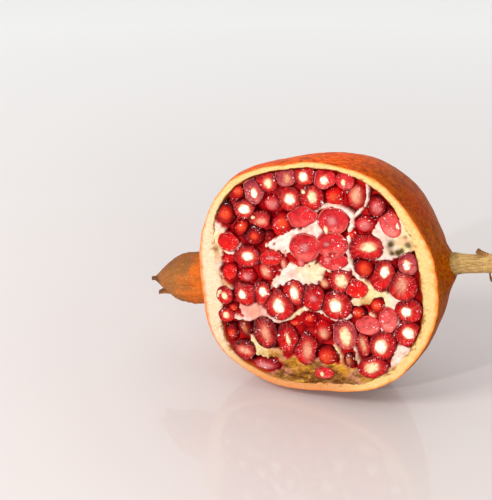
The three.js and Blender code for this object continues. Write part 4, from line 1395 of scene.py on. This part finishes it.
bark_base = bark.mix(
    bark.between(strands, 0.42, 0.62, 0, 0.75), bark.stored("paint").outputs["Color"], colour(132, 92, 44)
)
bark_base = bark.mix(bark.between(flecks, 0.56, 0.7, 0, 0.6), bark_base, colour(164, 112, 70))
specks = bark.noise(places, 2.6, 2, 0.5)
bark_base = bark.mix(bark.between(specks, 0.62, 0.7, 0, 0.8), bark_base, colour(66, 46, 20))
bark_base = bark.mix(bark.between(specks, 0.3, 0.38, 0.5, 0), bark_base, colour(238, 206, 150))
bark.feed(bark.surface.inputs["Base Color"], bark_base)
bark_normal = bark.bump(strands, 0.7, 0.0006)
bark.bump(flecks, 0.4, 0.0004, bark_normal)
print("nodes in the bark material:", len(bark.tree.nodes))

# %% [markdown]
# A shred of dry bark hangs under the stalk. It is a few rings of different thickness, one below
# the other.

# %% The hanging shred
THREAD_AROUND = 12
THREAD_X = 61.6
THREAD_TOP = STEM_Y - 2.9
THREAD_Z = 0.6
THREAD_PROFILE = [(0, 0.3), (1, 0.28), (1.9, 0.34), (2.3, 0.5), (2.7, 0.32), (3.3, 0.45), (3.6, 0.2)]
thread_turns = np.arange(THREAD_AROUND) * 2 * np.pi / THREAD_AROUND
thread_rings = []
for drop, thick in THREAD_PROFILE:
    thread_rings.append(np.column_stack([
        THREAD_X + 0.12 * drop + thick * np.cos(thread_turns),
        np.full(THREAD_AROUND, THREAD_TOP - drop),
        THREAD_Z + thick * np.sin(thread_turns),
    ]))
thread_ends = np.array([[THREAD_X, THREAD_TOP, THREAD_Z], [62, THREAD_TOP - 3.65, THREAD_Z]])
thread = closed_mesh("stem_thread", np.array(thread_rings), thread_ends)
store(thread.data, "paint", np.tile(colour(92, 44, 26), (len(thread.data.vertices), 1)))
for piece in (stem, stub, thread):
    piece.data.materials.append(bark.material)
    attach(piece, "root")
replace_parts(stem, "stem")
print("stem, stub and shred:", [len(piece.data.polygons) for piece in (stem, stub, thread)], "faces")

# %% [markdown]
# ## The table, the light and the camera
#
# A pale, glossy table top whose colour is a painted light falloff, darker near the fruit, one
# large soft lamp to the upper left, a smaller one to the right and a tiny one that only makes glints.

# %% Table
floor_mesh = bpy.data.meshes.new("table_top")
FLOOR = 6.0
floor_mesh.from_pydata(
    [(-FLOOR, -FLOOR, 0), (FLOOR, -FLOOR, 0), (FLOOR, FLOOR, 0), (-FLOOR, FLOOR, 0)], [], [(0, 1, 2, 3)]
)
floor = bpy.data.objects.new("table_top", floor_mesh)
bpy.context.scene.collection.objects.link(floor)
top = Shader("table_gloss", Roughness=0.35, IOR=1.4, Coat_Weight=0.6, Coat_Roughness=0.02)
from_middle = top.add("ShaderNodeTexCoord").outputs["Object"]
away = top.add("ShaderNodeVectorMath", {0: from_middle}, operation="LENGTH").outputs["Value"]
# Painted light falloff: the table's colour darkens towards the fruit and pales to white further out.
table_painted_falloff = top.mix(top.between(away, 0.1, 0.9), colour(214, 206, 204), colour(252, 252, 252))
top.feed(top.surface.inputs["Base Color"], table_painted_falloff)
floor.data.materials.append(top.material)
print("table top:", 2 * FLOOR, "m across")


# %% Lamps
def lamp(name, place, aim, size, power, tint=(1, 1, 1), mirrored=False):
    """A round area lamp at a place, turned towards a point, both in metres."""
    data = bpy.data.lights.new(name, "AREA")
    data.shape = "DISK"
    data.size = size
    data.energy = power
    data.color = tint
    made = bpy.data.objects.new(name, data)
    made.visible_glossy = mirrored
    made.location = place
    made.rotation_euler = (Vector(aim) - Vector(place)).to_track_quat("-Z", "Y").to_euler()
    bpy.context.scene.collection.objects.link(made)


heart = Vector(to_row(np.zeros((1, 3)))[0])
lamp("key_lamp", heart + Vector((-0.55, -0.75, 0.75)), heart, 0.4, 7, (1, 0.98, 0.95))
lamp("fill_lamp", heart + Vector((0.55, -0.8, 0.3)), heart, 0.25, 2, (1, 0.98, 0.96))
lamp("spark_lamp", heart + Vector((-0.4, -0.88, 0.3)), heart, 0.04, 3.8, mirrored=True)
print("lamps:", [light.name for light in bpy.data.lights])

# %% [markdown]
# The room is bright behind the fruit and dim in front, so that wet flesh mirrors little of it
# and keeps its deep colour. A single tone would flatten the fruit. What is seen beyond the table
# is one plain pale tone, so that no direction of view shows the gradient.

# %% The room
world = bpy.data.worlds.new("bright_room")
world.use_nodes = True
room = world.node_tree
ray = room.nodes.new("ShaderNodeTexCoord").outputs["Generated"]
split = room.nodes.new("ShaderNodeSeparateXYZ")
room.links.new(ray, split.inputs[0])
behind = room.nodes.new("ShaderNodeMapRange")
behind.inputs["From Min"].default_value = -0.9
behind.inputs["From Max"].default_value = 0.2
behind.inputs["To Min"].default_value = 0.22
behind.inputs["To Max"].default_value = 0.95
room.links.new(split.outputs["Y"], behind.inputs["Value"])
seen = room.nodes.new("ShaderNodeLightPath").outputs["Is Camera Ray"]
plain = room.nodes.new("ShaderNodeMix")
plain.inputs["B"].default_value = 0.87
room.links.new(seen, plain.inputs["Factor"])
room.links.new(behind.outputs[0], plain.inputs["A"])
room.links.new(plain.outputs[0], room.nodes["Background"].inputs["Strength"])
room.nodes["Background"].inputs["Color"].default_value = (1, 0.995, 0.99, 1)
bpy.context.scene.world = world
print("room strength:", behind.inputs["To Min"].default_value, behind.inputs["To Max"].default_value)

# %% [markdown]
# The camera stands in front and to the stem's side, and looks down on the cut face. The standard
# view keeps the colours as they were chosen.

# %% Camera
camera_data = bpy.data.cameras.new("camera")
camera_data.lens = 64.76
camera_data.sensor_width = 36
camera = bpy.data.objects.new("camera", camera_data)
camera.location = heart + Vector((81.1, -294.1, 135.2)) * MM
camera.rotation_euler = Vector((-0.3226, 0.8651, -0.3841)).to_track_quat("-Z", "Y").to_euler()
bpy.context.scene.collection.objects.link(camera)
bpy.context.scene.camera = camera
bpy.context.scene.view_settings.view_transform = "Standard"
print("camera is", round((camera.location - heart).length, 3), "m from the fruit's middle")

# %% [markdown]
# The grown pieces may not be larger than the CAD solids they stand for.
